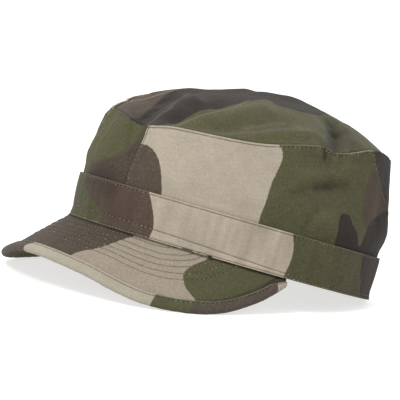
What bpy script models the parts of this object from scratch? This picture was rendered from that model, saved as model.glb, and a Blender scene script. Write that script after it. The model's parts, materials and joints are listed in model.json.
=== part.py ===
"""A soft field cap of printed cotton, resting on its peak and the back of its band.

The cap is first built level, with the lower edge of its band in the plane z = 0,
the front towards -Y and the wearer's left towards +X. Every piece is one closed
cloth wall on a surface given by two numbers: the angle round the head, with 0 at
the front, and a height or share across the piece. The finished cap is then
tipped back until the peak and the back of the band stand on the ground.
"""

import math

import bmesh
import bpy
from mathutils import Matrix, Vector

# Head opening and band
RIM_HALF_LENGTH = 0.103
RIM_HALF_WIDTH = 0.088
RIM_FLARE = 0.0015
FLARE_HEIGHT = 0.006
BAND_HEIGHT = 0.0270
BAND_WALL = 0.0018

# Crown wall
FRONT_HEIGHT = 0.0665
SIDE_HEIGHT = 0.0885
BACK_HEIGHT = 0.0940
SIDE_SLUMP = 0.0070
SEAM_WAVE = 0.0030
TOP_HALF_LENGTH = 0.0950
TOP_HALF_WIDTH = 0.0723
TOP_SHIFT = -0.0018
WALL_SWELL = 0.0050
CLOTH_WALL = 0.0012
CROWN_TUCK = 0.0080
CROWN_PUFF_HEIGHT = 0.0150
DENT_DEPTH = 0.0030
DENT_LENGTH = 0.0200

# Seams between the panels
FRONT_HALF_LOW = 0.0240
FRONT_HALF_TOP = 0.0212
BACK_HALF_LOW = 0.0228
BACK_HALF_TOP = 0.0632
BACK_SEAM_CURVE = 1.6

# Top panel
DOME_RISE = 0.0195
DOME_POWER = 1.95
DOME_LEAN = 0.33
TOP_TURN = 0.0030
FOLD_RISE = 0.0042
FOLD_SPREAD = 0.0080
FOLD_HOLD = 0.16
WAVE_FADE = 6

# Peak
PEAK_HALF_ANGLE = math.radians(84.0)
PEAK_REACH = 0.0335
PEAK_DROP = 0.0375
PEAK_WALL = 0.0020
BINDING_WIDTH = 0.0060
BINDING_WALL = 0.0010
BINDING_END_SHARE = 0.5
BINDING_LEG_SHARE = 0.25

# Fit and rest
GAP = 0.0003
SINK_BACK = 0.0008
SINK_PEAK = 0.0004
PITCH_LIMIT = math.radians(30.0)
HALVINGS = 40

# Waves of the seam round the top
# columns: angle in degrees, share of the wave's height
SEAM_WAVES = (
    (-180.0, -0.1),
    (-140.0, 0.7),
    (-105.0, -0.6),
    (-70.0, 0.5),
    (-35.0, -0.3),
    (-8.0, 0.4),
    (11.0, -0.5),
    (30.0, 0.5),
    (66.0, -0.6),
    (90.0, 0.3),
    (98.0, -0.7),
    (121.0, 1.0),
    (148.0, -0.5),
    (180.0, -0.1),
)

# Folds of the top panel, ridges up and valleys down
# columns: x and y of one end, x and y of the other, all as shares of the top's half width
# and half length, share of the fold's spread, share of its rise
TOP_FOLDS = (
    (0.28, -0.96, -0.04, -0.54, 0.9, 1.0),
    (0.14, -1.00, -0.34, -0.62, 1.3, -0.9),
    (0.38, -0.88, 0.16, -0.42, 1.0, -0.8),
    (0.50, -0.84, 0.38, -0.20, 1.0, 1.0),
    (0.66, -0.62, 0.62, -0.10, 1.0, -0.6),
    (0.80, -0.52, 0.86, 0.02, 0.8, 0.8),
    (0.46, 0.30, 1.00, 0.16, 0.8, -0.8),
    (0.44, 0.52, 0.86, 0.42, 1.0, 0.6),
    (-0.62, -0.52, -0.36, 0.02, 1.1, 0.6),
    (-0.92, -0.16, -0.62, 0.24, 1.1, -0.6),
    (-0.36, 0.06, -0.10, 0.34, 1.6, 0.4),
    (0.10, 0.94, 0.06, 0.58, 0.9, -0.6),
)

# Dents of the crown's side
# columns: angle in degrees, share of the height, turn of the dent from upright in degrees,
# share of the dent's length, share of its length across it, share of its depth
WALL_DENTS = (
    (8.0, 0.80, 10.0, 0.9, 0.45, 0.9),
    (97.0, 0.80, 5.0, 0.8, 0.45, 1.0),
    (96.0, 0.74, 65.0, 0.7, 0.25, 0.6),
    (86.0, 0.42, 40.0, 0.6, 0.40, 0.5),
    (126.0, 0.62, 15.0, 1.0, 0.35, 0.5),
    (176.0, 0.70, -8.0, 1.2, 0.40, 0.6),
    (232.0, 0.80, 12.0, 0.9, 0.35, 0.8),
    (268.0, 0.60, -50.0, 0.9, 0.30, 0.6),
    (318.0, 0.78, -14.0, 0.9, 0.35, 0.7),
)

# Peak sections, from the middle to one end
# columns: share of the half angle, share of the reach, share of the drop
PEAK_SECTIONS = (
    (0.00, 1.00, 0.66),
    (0.24, 0.95, 0.73),
    (0.48, 0.92, 0.90),
    (0.69, 0.71, 0.79),
    (0.86, 0.26, 0.48),
    (1.00, 0.01, 0.09),
)

# Grid sizes
TOP_COLUMNS = 72
TOP_ROWS = 14
SIDE_COLUMNS = 32
FRONT_COLUMNS = 8
BACK_COLUMNS = 20
WALL_ROWS = 8
BAND_COLUMNS = 88
BAND_ROWS = 4
PEAK_COLUMNS = 40
PEAK_ROWS = 4
BINDING_COLUMNS = 48
BINDING_ROWS = 8

CLOTH_GREEN = (0.105, 0.107, 0.048)
CLOTH_TAN = (0.479, 0.413, 0.319)
CLOTH_BROWN = (0.107, 0.080, 0.061)
CLOTH_ROUGHNESS = 0.9


def smooth_step(value):
    """Ease from 0 to 1 as the value does."""
    share = min(max(value, 0.0), 1.0)
    return share * share * (3.0 - 2.0 * share)


def read_table(table, place, column):
    """Read one column of a table at a place, on a smooth curve through its rows."""
    last = len(table) - 1
    low = max(row for row in range(last) if table[row][0] <= place or row == 0)
    high = low + 1

    def slope(row):
        if row == 0:
            return 0.0
        after = min(row + 1, last)
        return (table[after][column] - table[row - 1][column]) / (table[after][0] - table[row - 1][0])

    span = table[high][0] - table[low][0]
    t = (place - table[low][0]) / span
    return (
        table[low][column] * (2 * t**3 - 3 * t**2 + 1)
        + slope(low) * span * (t**3 - 2 * t**2 + t)
        + table[high][column] * (3 * t**2 - 2 * t**3)
        + slope(high) * span * (t**3 - t**2)
    )


def oval(angle, half_length, half_width, centre_y=0.0):
    """A point on a level oval, from the front towards the wearer's left."""
    return Vector((half_width * math.sin(angle), centre_y - half_length * math.cos(angle), 0.0))


def outward(angle):
    """The level direction away from the head."""
    return Vector((math.sin(angle) / RIM_HALF_WIDTH, -math.cos(angle) / RIM_HALF_LENGTH, 0.0)).normalized()


def seam_height(angle, radius=1.0):
    """Height of the seam round the top: low in front, high behind, the left side slumped.

    A radius under 1 carries the same tilt and waves into the top panel, the waves dying out.
    """
    mean = (FRONT_HEIGHT + BACK_HEIGHT + 2 * SIDE_HEIGHT) / 4
    tilt = (BACK_HEIGHT - FRONT_HEIGHT) / 2 * math.cos(angle)
    crown = (FRONT_HEIGHT + BACK_HEIGHT - 2 * SIDE_HEIGHT) / 4 * math.cos(2 * angle)
    slump = SIDE_SLUMP * math.sin(angle)
    turned = (math.degrees(angle) + 180.0) % 360.0 - 180.0
    wave = SEAM_WAVE * read_table(SEAM_WAVES, turned, 1)
    return mean - (tilt + slump) * radius + crown * radius**2 + wave * radius**WAVE_FADE


def wall_point(angle, height):
    """The cap's side: a flared lower edge, then an even swell up to the top seam."""
    share = height / seam_height(angle)
    low = oval(angle, RIM_HALF_LENGTH - RIM_FLARE, RIM_HALF_WIDTH - RIM_FLARE)
    high = oval(angle, TOP_HALF_LENGTH, TOP_HALF_WIDTH, TOP_SHIFT)
    swell = WALL_SWELL * math.sin(math.pi * share)
    flare = RIM_FLARE * max(0.0, 1.0 - height / FLARE_HEIGHT) ** 2
    point = low.lerp(high, share) + outward(angle) * (swell + flare)
    point.z = height
    return point


def dent_depth(angle, height):
    """How far the dents push the crown's side in."""
    depth = 0.0
    for place, share, turn, length, width, push in WALL_DENTS:
        around = math.remainder(angle - math.radians(place), 2 * math.pi) * RIM_HALF_WIDTH
        rise = height - share * seam_height(math.radians(place))
        tip = math.radians(turn)
        along = rise * math.cos(tip) + around * math.sin(tip)
        across = around * math.cos(tip) - rise * math.sin(tip)
        along /= DENT_LENGTH * length
        across /= DENT_LENGTH * width
        depth += DENT_DEPTH * push * math.exp(-along * along - across * across)
    return depth


def crown_point(angle, height):
    """The crown's cloth: it lies inside the band, and puffs out above it."""
    tucked = BAND_WALL + GAP
    puff = smooth_step((height - BAND_HEIGHT) / CROWN_PUFF_HEIGHT)
    inset = tucked * (1.0 - puff) + dent_depth(angle, height) * puff
    return wall_point(angle, height) - outward(angle) * inset


def front_seam_angle(share):
    """Angle of the seam between the front and side panels, from its foot to the top."""
    low = math.asin(FRONT_HALF_LOW / RIM_HALF_WIDTH)
    high = math.asin(FRONT_HALF_TOP / TOP_HALF_WIDTH)
    return low + (high - low) * share


def back_seam_angle(share):
    """Angle of the seam between the side and back panels, from its foot to the top."""
    low = math.pi - math.asin(BACK_HALF_LOW / RIM_HALF_WIDTH)
    high = math.pi - math.asin(BACK_HALF_TOP / TOP_HALF_WIDTH)
    return low + (high - low) * math.sin(math.pi / 2 * share) ** BACK_SEAM_CURVE


def square_offset(surface, u, v, depth, level=False):
    """The point that lies depth under the surface, square to it or level with it."""
    step = 1e-4
    across = surface(u + step, v) - surface(u - step, v)
    along = surface(u, v + step) - surface(u, v - step)
    normal = across.cross(along)
    if level:
        normal.z = 0.0
    return surface(u, v) - normal.normalized() * depth


def cloth_wall(name, surface, columns, rows, thickness, colour, closed=False, level=False):
    """Lay a grid over the surface, u and v from 0 to 1, and give it a thickness."""
    mesh_data = bmesh.new()
    bmesh.ops.create_grid(mesh_data, x_segments=columns, y_segments=rows, size=0.5)
    place_u = mesh_data.verts.layers.float.new("u")
    place_v = mesh_data.verts.layers.float.new("v")
    for vertex in mesh_data.verts:
        vertex[place_u] = vertex.co.x + 0.5
        vertex[place_v] = vertex.co.y + 0.5
        vertex.co = surface(vertex[place_u], vertex[place_v])
    if closed:
        bmesh.ops.remove_doubles(mesh_data, verts=mesh_data.verts, dist=1e-6)
    outer_faces = list(mesh_data.faces)
    bmesh.ops.recalc_face_normals(mesh_data, faces=outer_faces)
    extruded = bmesh.ops.extrude_face_region(mesh_data, geom=outer_faces, use_keep_orig=True)
    for item in extruded["geom"]:
        if isinstance(item, bmesh.types.BMVert):
            item.co = square_offset(surface, item[place_u], item[place_v], thickness, level)
    bmesh.ops.recalc_face_normals(mesh_data, faces=mesh_data.faces)
    mesh = bpy.data.meshes.new(name)
    mesh_data.to_mesh(mesh)
    mesh_data.free()
    mesh.shade_smooth()
    piece = bpy.data.objects.new(name, mesh)
    bpy.context.collection.objects.link(piece)
    mesh.materials.append(cloth_material(name + "_cloth", colour))
    return piece


def cloth_material(name, colour):
    """Matt cotton in one colour."""
    material = bpy.data.materials.new(name)
    material.use_nodes = True
    shader = material.node_tree.nodes["Principled BSDF"]
    shader.inputs["Base Color"].default_value = (*colour, 1.0)
    shader.inputs["Roughness"].default_value = CLOTH_ROUGHNESS
    shader.inputs["Metallic"].default_value = 0.0
    return material


def panel_surface(first_edge, last_edge):
    """A wall panel between two seams, from inside the band up to the top seam."""
    half_gap = GAP / (2 * TOP_HALF_WIDTH)
    foot = BAND_HEIGHT - CROWN_TUCK

    def surface(u, v):
        share = min(max(v, 0.0), 1.0)
        start = first_edge(share) + half_gap
        end = last_edge(share) - half_gap
        angle = start + u * (end - start)
        return crown_point(angle, foot + v * (seam_height(angle) - foot))

    return surface


def fold_rise(x, y):
    """How far the folds lift the top panel at a place in plan, sinking where negative."""
    rise = 0.0
    here = Vector((x, y - TOP_SHIFT))
    for x1, y1, x2, y2, spread, lift in TOP_FOLDS:
        start = Vector((x1 * TOP_HALF_WIDTH, y1 * TOP_HALF_LENGTH))
        run = Vector((x2 * TOP_HALF_WIDTH, y2 * TOP_HALF_LENGTH)) - start
        share = min(max((here - start).dot(run) / run.length_squared, 0.0), 1.0)
        away = (here - start - run * share).length / (FOLD_SPREAD * spread)
        rise += FOLD_RISE * lift * math.exp(-away * away)
    return rise


def top_surface(u, v):
    """The top panel: a narrow edge turned down inside the wall, then the dome."""
    angle = 2 * math.pi * u
    inset = outward(angle) * (CLOTH_WALL + 2 * GAP)
    edge = crown_point(angle, seam_height(angle)) - inset
    turn_rows = 1.0 / TOP_ROWS
    if v < turn_rows:
        drop = TOP_TURN * (1.0 - v / turn_rows)
        return crown_point(angle, edge.z - drop) - inset
    radius = 1.0 - (v - turn_rows) / (1.0 - turn_rows)
    centre = Vector((0.0, TOP_SHIFT, 0.0))
    point = centre.lerp(Vector((edge.x, edge.y, 0.0)), radius)
    held = smooth_step((1.0 - radius) / FOLD_HOLD)
    lean = 1.0 + DOME_LEAN * (point.y - TOP_SHIFT) / TOP_HALF_LENGTH
    point.z = seam_height(angle, radius) + DOME_RISE * lean * (1.0 - max(radius, 0.0) ** DOME_POWER)
    point.z += fold_rise(point.x, point.y) * held
    return point


def band_surface(u, v):
    """The band, with its rows closer together where the lower edge flares."""
    return wall_point(2 * math.pi * u, BAND_HEIGHT * v * (1 + v) / 2)


def peak_point(turn, share):
    """The peak's upper side: turn runs from -1 to 1, share from the band to the edge."""
    angle = PEAK_HALF_ANGLE * turn
    reach = PEAK_REACH * read_table(PEAK_SECTIONS, min(abs(turn), 1.0), 1)
    drop = PEAK_DROP * read_table(PEAK_SECTIONS, min(abs(turn), 1.0), 2)
    rim = wall_point(angle, 0.0)
    root = rim - outward(angle) * BAND_WALL / 2 - Vector((0.0, 0.0, GAP))
    edge = rim + outward(angle) * reach - Vector((0.0, 0.0, drop))
    return root.lerp(edge, share)


def peak_surface(u, v):
    return peak_point(2 * u - 1, 1 - v)


def binding_surface(u, v):
    """The tape: over the peak's edge, round it and back along its underside."""
    turn = 2 * u - 1
    edge = peak_point(turn, 1.0)
    width = (edge - peak_point(turn, 0.0)).length
    inward = (peak_point(turn, 0.0) - edge).normalized()
    up = square_offset(lambda a, b: peak_point(a, 1 - b), turn, 0.5, -1.0) - peak_point(turn, 0.5)
    leg = min(BINDING_WIDTH, width * BINDING_END_SHARE)
    middle = edge - up * PEAK_WALL / 2
    radius = PEAK_WALL / 2 + GAP + BINDING_WALL
    flat = BINDING_LEG_SHARE
    if v < flat:
        return middle + inward * leg * (1 - v / flat) - up * radius
    if v > 1 - flat:
        return middle + inward * leg * (v - 1 + flat) / flat + up * radius
    swing = math.pi * (v - flat) / (1 - 2 * flat)
    return middle - inward * radius * math.sin(swing) - up * radius * math.cos(swing)


def lowest(piece, pitch):
    """The lowest height of a piece once the cap is tipped back."""
    return min(vertex.co.z * math.cos(pitch) - vertex.co.y * math.sin(pitch) for vertex in piece.data.vertices)


def resting_pitch(band, binding):
    """Tip the cap back until the peak's edge and the back of the band stand level."""
    low, high = 0.0, PITCH_LIMIT
    for _ in range(HALVINGS):
        middle = (low + high) / 2
        peak_foot = lowest(binding, middle) + SINK_PEAK
        back_foot = lowest(band, middle) + SINK_BACK
        if peak_foot < back_foot:
            low = middle
        else:
            high = middle
    return (low + high) / 2


def set_down(pieces, pitch, ground):
    """Tip all pieces back, stand them on z = 0 and press flat the cloth that would sink in."""
    tip = Matrix.Rotation(-pitch, 4, "X")
    for piece in pieces:
        piece.data.transform(tip)
    points = [vertex.co for piece in pieces for vertex in piece.data.vertices]
    middle_x = (min(point.x for point in points) + max(point.x for point in points)) / 2
    middle_y = (min(point.y for point in points) + max(point.y for point in points)) / 2
    for piece in pieces:
        piece.data.transform(Matrix.Translation((-middle_x, -middle_y, -ground)))
        for vertex in piece.data.vertices:
            vertex.co.z = max(vertex.co.z, 0.0)


def main():
    for leftover in list(bpy.data.objects):
        bpy.data.objects.remove(leftover, do_unlink=True)

    top = cloth_wall("top_panel", top_surface, TOP_COLUMNS, TOP_ROWS, CLOTH_WALL, CLOTH_GREEN, closed=True)
    front = cloth_wall(
        "front_panel",
        panel_surface(lambda share: -front_seam_angle(share), front_seam_angle),
        FRONT_COLUMNS, WALL_ROWS, CLOTH_WALL, CLOTH_BROWN, level=True,
    )
    left = cloth_wall(
        "side_panel_left",
        panel_surface(front_seam_angle, back_seam_angle),
        SIDE_COLUMNS, WALL_ROWS, CLOTH_WALL, CLOTH_TAN, level=True,
    )
    right = cloth_wall(
        "side_panel_right",
        panel_surface(
            lambda share: 2 * math.pi - back_seam_angle(share),
            lambda share: 2 * math.pi - front_seam_angle(share),
        ),
        SIDE_COLUMNS, WALL_ROWS, CLOTH_WALL, CLOTH_GREEN, level=True,
    )
    back = cloth_wall(
        "back_panel",
        panel_surface(back_seam_angle, lambda share: 2 * math.pi - back_seam_angle(share)),
        BACK_COLUMNS, WALL_ROWS, CLOTH_WALL, CLOTH_BROWN, level=True,
    )
    band = cloth_wall(
        "band", band_surface, BAND_COLUMNS, BAND_ROWS, BAND_WALL, CLOTH_TAN, closed=True, level=True
    )
    peak = cloth_wall("peak", peak_surface, PEAK_COLUMNS, PEAK_ROWS, PEAK_WALL, CLOTH_BROWN)
    binding = cloth_wall(
        "peak_binding", binding_surface, BINDING_COLUMNS, BINDING_ROWS, BINDING_WALL, CLOTH_TAN
    )

    pieces = [top, front, left, right, back, band, peak, binding]
    pitch = resting_pitch(band, binding)
    set_down(pieces, pitch, lowest(band, pitch) + SINK_BACK)


main()
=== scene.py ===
# %% [markdown]
# # A patrol cap in printed cotton
#
# This lesson dresses a soft field cap: an oval top, four wall panels, a deep band and a
# stiffened peak with a taped edge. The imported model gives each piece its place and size.
# Every piece of cloth is made again here at a finer grain, so that seams roll over, stitches
# sink in and folds catch the light.

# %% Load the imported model
import json
import math

import bmesh
import bpy
import numpy as np
from mathutils import Matrix, Vector, noise


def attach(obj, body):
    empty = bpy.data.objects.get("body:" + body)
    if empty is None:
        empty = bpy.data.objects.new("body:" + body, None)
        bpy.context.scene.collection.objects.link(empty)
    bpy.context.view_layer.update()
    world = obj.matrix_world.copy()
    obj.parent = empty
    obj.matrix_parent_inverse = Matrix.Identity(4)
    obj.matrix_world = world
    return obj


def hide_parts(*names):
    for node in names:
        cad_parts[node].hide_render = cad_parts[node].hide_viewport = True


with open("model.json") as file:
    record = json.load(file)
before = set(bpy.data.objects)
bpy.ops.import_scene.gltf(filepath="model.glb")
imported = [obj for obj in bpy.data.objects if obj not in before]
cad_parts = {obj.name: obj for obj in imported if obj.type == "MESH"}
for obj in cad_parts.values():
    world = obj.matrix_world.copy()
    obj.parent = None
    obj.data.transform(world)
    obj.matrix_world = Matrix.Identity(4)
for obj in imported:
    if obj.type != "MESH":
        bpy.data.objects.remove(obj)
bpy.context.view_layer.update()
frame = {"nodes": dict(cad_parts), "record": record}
print("nodes:", ", ".join(sorted(frame["nodes"])))

# %% [markdown]
# ## The cap's own frame
#
# The cap stands tipped back: the peak and the back of the band touch the ground. It is far
# easier to draw while it is level, so everything below is worked out in a rim frame, in which
# the band's lower edge lies in the plane z = 0. The head opening is stated as a mount of the
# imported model, and its place and axis say how the rim frame is turned and moved.

# %% From the rim frame to the world
opening = next(mount for mount in frame["record"]["mounts"] if mount["name"] == "head_opening")
TIP_BACK = math.atan2(-opening["axis"][1], -opening["axis"][2])
RIM_CENTRE = np.array(opening["pos_m"])
TURN_BACK = np.array((
    (1.0, 0.0, 0.0),
    (0.0, math.cos(TIP_BACK), math.sin(TIP_BACK)),
    (0.0, -math.sin(TIP_BACK), math.cos(TIP_BACK)),
))


def set_down(points):
    """Rim frame to world; cloth that would sink into the ground is pressed flat."""
    placed = points @ TURN_BACK.T + RIM_CENTRE
    placed[..., 2] = np.maximum(placed[..., 2], 0.0)
    return placed


print("tipped back, degrees:", round(math.degrees(TIP_BACK), 2))

# %% [markdown]
# ## Camera
#
# The picture was taken with a long lens, level with the band and 55 degrees round from the
# front. The cap leans a little in that view, so the camera is placed in the rim frame too and
# then goes through the same move as the cloth.

# %% Camera
VIEW_AROUND = math.radians(55.5)
VIEW_ROLL = math.radians(16.24)
VIEW_DISTANCE = 1.5
LOOK_HEIGHT = 0.04
VIEW_ASIDE = -0.0240
VIEW_UP = -0.0027
LENS = 214.6
SENSOR = 36.0

towards_camera = np.array((math.sin(VIEW_AROUND), -math.cos(VIEW_AROUND), 0.0))
level_right = np.array((math.cos(VIEW_AROUND), math.sin(VIEW_AROUND), 0.0))
view_right = level_right * math.cos(VIEW_ROLL) + np.array((0.0, 0.0, math.sin(VIEW_ROLL)))
view_up = -level_right * math.sin(VIEW_ROLL) + np.array((0.0, 0.0, math.cos(VIEW_ROLL)))
camera_place = (
    np.array((0.0, 0.0, LOOK_HEIGHT))
    + VIEW_DISTANCE * towards_camera + VIEW_ASIDE * view_right + VIEW_UP * view_up
)
camera_data = bpy.data.cameras.new("camera")
camera_data.lens = LENS
camera_data.sensor_width = SENSOR
camera = bpy.data.objects.new("camera", camera_data)
bpy.context.scene.collection.objects.link(camera)
axes = np.stack([TURN_BACK @ view_right, TURN_BACK @ view_up, TURN_BACK @ towards_camera], axis=1)
camera_move = Matrix.Translation(TURN_BACK @ camera_place + RIM_CENTRE)
camera.matrix_world = camera_move @ Matrix(axes.tolist()).to_4x4()
bpy.context.scene.camera = camera
print("camera height over the floor, mm:", round(1000 * camera.matrix_world.translation.z))

# %% [markdown]
# ## Floor and light
#
# The cap stands on a plain pale table under soft studio light. Catalogue pictures are taken on
# a white sheet that is also lit from below, which keeps shadows faint, so the floor glows a
# little here. One wide panel stands high on the camera's left, a weaker one behind the cap
# draws a rim along its top, and an even pale surround fills in. The standard view transform
# keeps the cloth's colours as they are set.

# %% Floor, surround and lights
FLOOR_SIZE = 60.0
FLOOR_TONE = 0.46
FLOOR_GLOW = 0.68
FLOOR_ROUGHNESS = 0.9
SURROUND_STRENGTH = 0.74
WHITE = (1.0, 1.0, 1.0, 1.0)

floor_shape = bmesh.new()
bmesh.ops.create_grid(floor_shape, x_segments=1, y_segments=1, size=FLOOR_SIZE / 2)
floor_mesh = bpy.data.meshes.new("floor")
floor_shape.to_mesh(floor_mesh)
floor_shape.free()
floor = bpy.data.objects.new("floor", floor_mesh)
bpy.context.scene.collection.objects.link(floor)
pale_floor = bpy.data.materials.new("pale_floor")
pale_floor.use_nodes = True
floor_finish = pale_floor.node_tree.nodes["Principled BSDF"].inputs
floor_finish["Base Color"].default_value = (FLOOR_TONE, FLOOR_TONE, FLOOR_TONE, 1.0)
floor_finish["Roughness"].default_value = FLOOR_ROUGHNESS
floor_finish["Emission Color"].default_value = WHITE
floor_finish["Emission Strength"].default_value = FLOOR_GLOW
floor_mesh.materials.append(pale_floor)

world = bpy.data.worlds.new("surround")
world.use_nodes = True
glow = world.node_tree.nodes["Background"].inputs
glow["Color"].default_value = WHITE
glow["Strength"].default_value = SURROUND_STRENGTH
bpy.context.scene.world = world
bpy.context.scene.view_settings.view_transform = "Standard"

# columns: name, place in metres, width, power in watts
LIGHTS = (
    ("key_panel", (0.7, -1.55, 2.0), 0.9, 54.0),
    ("back_panel", (-1.3, 0.9, 1.7), 1.0, 24.0),
)
for name, place, width, power in LIGHTS:
    lamp = bpy.data.lights.new(name, "AREA")
    lamp.size = width
    lamp.energy = power
    holder = bpy.data.objects.new(name, lamp)
    holder.location = place
    holder.rotation_euler = (-Vector(place)).to_track_quat("-Z", "Y").to_euler()
    bpy.context.scene.collection.objects.link(holder)
print("lights:", ", ".join(row[0] for row in LIGHTS))

# %% [markdown]
# ## The cut of the cap
#
# These are the cap's sizes in metres and its short tables of sections, folds and dents. The
# solid model was cut from the same ones, apart from three waves of the front of the seam and
# the sag of the peak's edge. A pattern cutter would call them the block: each piece below is a
# stretch of one of these surfaces.

# %% Sizes
RIM_HALF_LENGTH = 0.103
RIM_HALF_WIDTH = 0.088
RIM_FLARE = 0.0015
FLARE_HEIGHT = 0.006
BAND_HEIGHT = 0.0270
BAND_WALL = 0.0018
FRONT_HEIGHT = 0.0665
SIDE_HEIGHT = 0.0885
BACK_HEIGHT = 0.0940
SIDE_SLUMP = 0.0070
SEAM_WAVE = 0.0030
TOP_HALF_LENGTH = 0.0950
TOP_HALF_WIDTH = 0.0723
TOP_SHIFT = -0.0018
WALL_SWELL = 0.0050
CLOTH_WALL = 0.0012
CROWN_TUCK = 0.0080
CROWN_PUFF_HEIGHT = 0.0150
DENT_DEPTH = 0.0030
DENT_LENGTH = 0.0200
FRONT_HALF_LOW = 0.0240
FRONT_HALF_TOP = 0.0212
BACK_HALF_LOW = 0.0228
BACK_HALF_TOP = 0.0632
BACK_SEAM_CURVE = 1.6
DOME_RISE = 0.0195
DOME_POWER = 1.95
DOME_LEAN = 0.33
TOP_TURN = 0.0030
FOLD_RISE = 0.0042
FOLD_SPREAD = 0.0080
FOLD_HOLD = 0.16
WAVE_FADE = 6
PEAK_HALF_ANGLE = math.radians(84.0)
PEAK_REACH = 0.0335
PEAK_DROP = 0.0375
PEAK_WALL = 0.0020
BINDING_WIDTH = 0.0060
BINDING_WALL = 0.0010
BINDING_END_SHARE = 0.5
BINDING_LEG_SHARE = 0.25
TIP_SAG = 0.0040
SAG_PLACE = -0.28
SAG_SPREAD = 0.20
SAG_POWER = 1.5
GAP = 0.0003

# %% Tables of the cut
# columns: angle in degrees, share of the wave's height
SEAM_WAVES = (
    (-180.0, -0.1), (-140.0, 0.7), (-105.0, -0.6), (-70.0, 0.1), (-35.0, -0.8), (-8.0, 0.3),
    (11.0, -0.5), (30.0, 0.5), (66.0, -0.6), (90.0, 0.3), (98.0, -0.7), (121.0, 1.0),
    (148.0, -0.5), (180.0, -0.1),
)
# columns: both ends as shares of the top's half width and half length, spread, rise
TOP_FOLDS = (
    (0.28, -0.96, -0.04, -0.54, 0.9, 1.0),
    (0.14, -1.00, -0.34, -0.62, 1.3, -0.9),
    (0.38, -0.88, 0.16, -0.42, 1.0, -0.8),
    (0.50, -0.84, 0.38, -0.20, 1.0, 1.0),
    (0.66, -0.62, 0.62, -0.10, 1.0, -0.6),
    (0.80, -0.52, 0.86, 0.02, 0.8, 0.8),
    (0.46, 0.30, 1.00, 0.16, 0.8, -0.8),
    (0.44, 0.52, 0.86, 0.42, 1.0, 0.6),
    (-0.62, -0.52, -0.36, 0.02, 1.1, 0.6),
    (-0.92, -0.16, -0.62, 0.24, 1.1, -0.6),
    (-0.36, 0.06, -0.10, 0.34, 1.6, 0.4),
    (0.10, 0.94, 0.06, 0.58, 0.9, -0.6),
)
# columns: angle in degrees, share of the height, turn from upright, length, width, depth
WALL_DENTS = (
    (8.0, 0.80, 10.0, 0.9, 0.45, 0.9),
    (97.0, 0.80, 5.0, 0.8, 0.45, 1.0),
    (96.0, 0.74, 65.0, 0.7, 0.25, 0.6),
    (86.0, 0.42, 40.0, 0.6, 0.40, 0.5),
    (126.0, 0.62, 15.0, 1.0, 0.35, 0.5),
    (176.0, 0.70, -8.0, 1.2, 0.40, 0.6),
    (232.0, 0.80, 12.0, 0.9, 0.35, 0.8),
    (268.0, 0.60, -50.0, 0.9, 0.30, 0.6),
    (318.0, 0.78, -14.0, 0.9, 0.35, 0.7),
)
# columns: share of the half angle, share of the reach, share of the drop
PEAK_SECTIONS = (
    (0.00, 1.00, 0.66),
    (0.24, 0.95, 0.73),
    (0.48, 0.92, 0.90),
    (0.69, 0.71, 0.79),
    (0.86, 0.26, 0.48),
    (1.00, 0.01, 0.09),
)


# %% [markdown]
# ## Surfaces
#
# Each surface takes whole arrays of places at once, which keeps the script quick although
# the cloth is fine. An angle runs round the head from 0 at the front towards the wearer's
# left; a height runs up the wall.

# %% Curves through tables
TINY = 1e-12


def smooth_step(value):
    share = np.clip(value, 0.0, 1.0)
    return share * share * (3.0 - 2.0 * share)


def within(value, first, last, fade):
    """One between two values, fading to nothing at both."""
    return smooth_step((value - first) / fade) * smooth_step((last - value) / fade)


def half_turned(angle):
    """An angle in degrees, from -180 to 180."""
    return (np.degrees(angle) + 180.0) % 360.0 - 180.0


def read_table(table, place, column):
    """One column of a table at each place, on a smooth curve through its rows."""
    knots = np.array([row[0] for row in table])
    values = np.array([row[column] for row in table])
    slopes = np.zeros(len(knots))
    slopes[1:-1] = (values[2:] - values[:-2]) / (knots[2:] - knots[:-2])
    slopes[-1] = (values[-1] - values[-2]) / (knots[-1] - knots[-2])
    low = np.clip(np.searchsorted(knots, place, side="right") - 1, 0, len(knots) - 2)
    span = knots[low + 1] - knots[low]
    t = (place - knots[low]) / span
    return (
        values[low] * (2 * t**3 - 3 * t**2 + 1) + slopes[low] * span * (t**3 - 2 * t**2 + t)
        + values[low + 1] * (3 * t**2 - 2 * t**3) + slopes[low + 1] * span * (t**3 - t**2)
    )


# %% The wall and its dents
def oval(angle, half_length, half_width, centre_y=0.0):
    across = half_width * np.sin(angle)
    return np.stack([across, centre_y - half_length * np.cos(angle), 0.0 * across], axis=-1)


def outward(angle):
    """Unit vectors that point straight away from the rim."""
    aside, ahead = np.sin(angle) / RIM_HALF_WIDTH, -np.cos(angle) / RIM_HALF_LENGTH
    away = np.stack([aside, ahead, 0.0 * angle], axis=-1)
    return away / np.linalg.norm(away, axis=-1, keepdims=True)


def seam_height(angle, radius=1.0):
    """Height of the seam round the top, its tilt and waves dying out towards the middle."""
    mean = (FRONT_HEIGHT + BACK_HEIGHT + 2 * SIDE_HEIGHT) / 4
    tilt = (BACK_HEIGHT - FRONT_HEIGHT) / 2 * np.cos(angle)
    crown = (FRONT_HEIGHT + BACK_HEIGHT - 2 * SIDE_HEIGHT) / 4 * np.cos(2 * angle)
    wave = SEAM_WAVE * read_table(SEAM_WAVES, half_turned(angle), 1)
    slump = SIDE_SLUMP * np.sin(angle)
    return mean - (tilt + slump) * radius + crown * radius**2 + wave * radius**WAVE_FADE


def wall_point(angle, height):
    """A flared lower edge, then an even swell up to the top seam."""
    share = height / seam_height(angle)
    low = oval(angle, RIM_HALF_LENGTH - RIM_FLARE, RIM_HALF_WIDTH - RIM_FLARE)
    high = oval(angle, TOP_HALF_LENGTH, TOP_HALF_WIDTH, TOP_SHIFT)
    flare = RIM_FLARE * np.maximum(0.0, 1.0 - height / FLARE_HEIGHT) ** 2
    swell = WALL_SWELL * np.sin(math.pi * share) + flare
    point = low + (high - low) * share[..., None] + outward(angle) * swell[..., None]
    point[..., 2] = height
    return point


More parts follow.
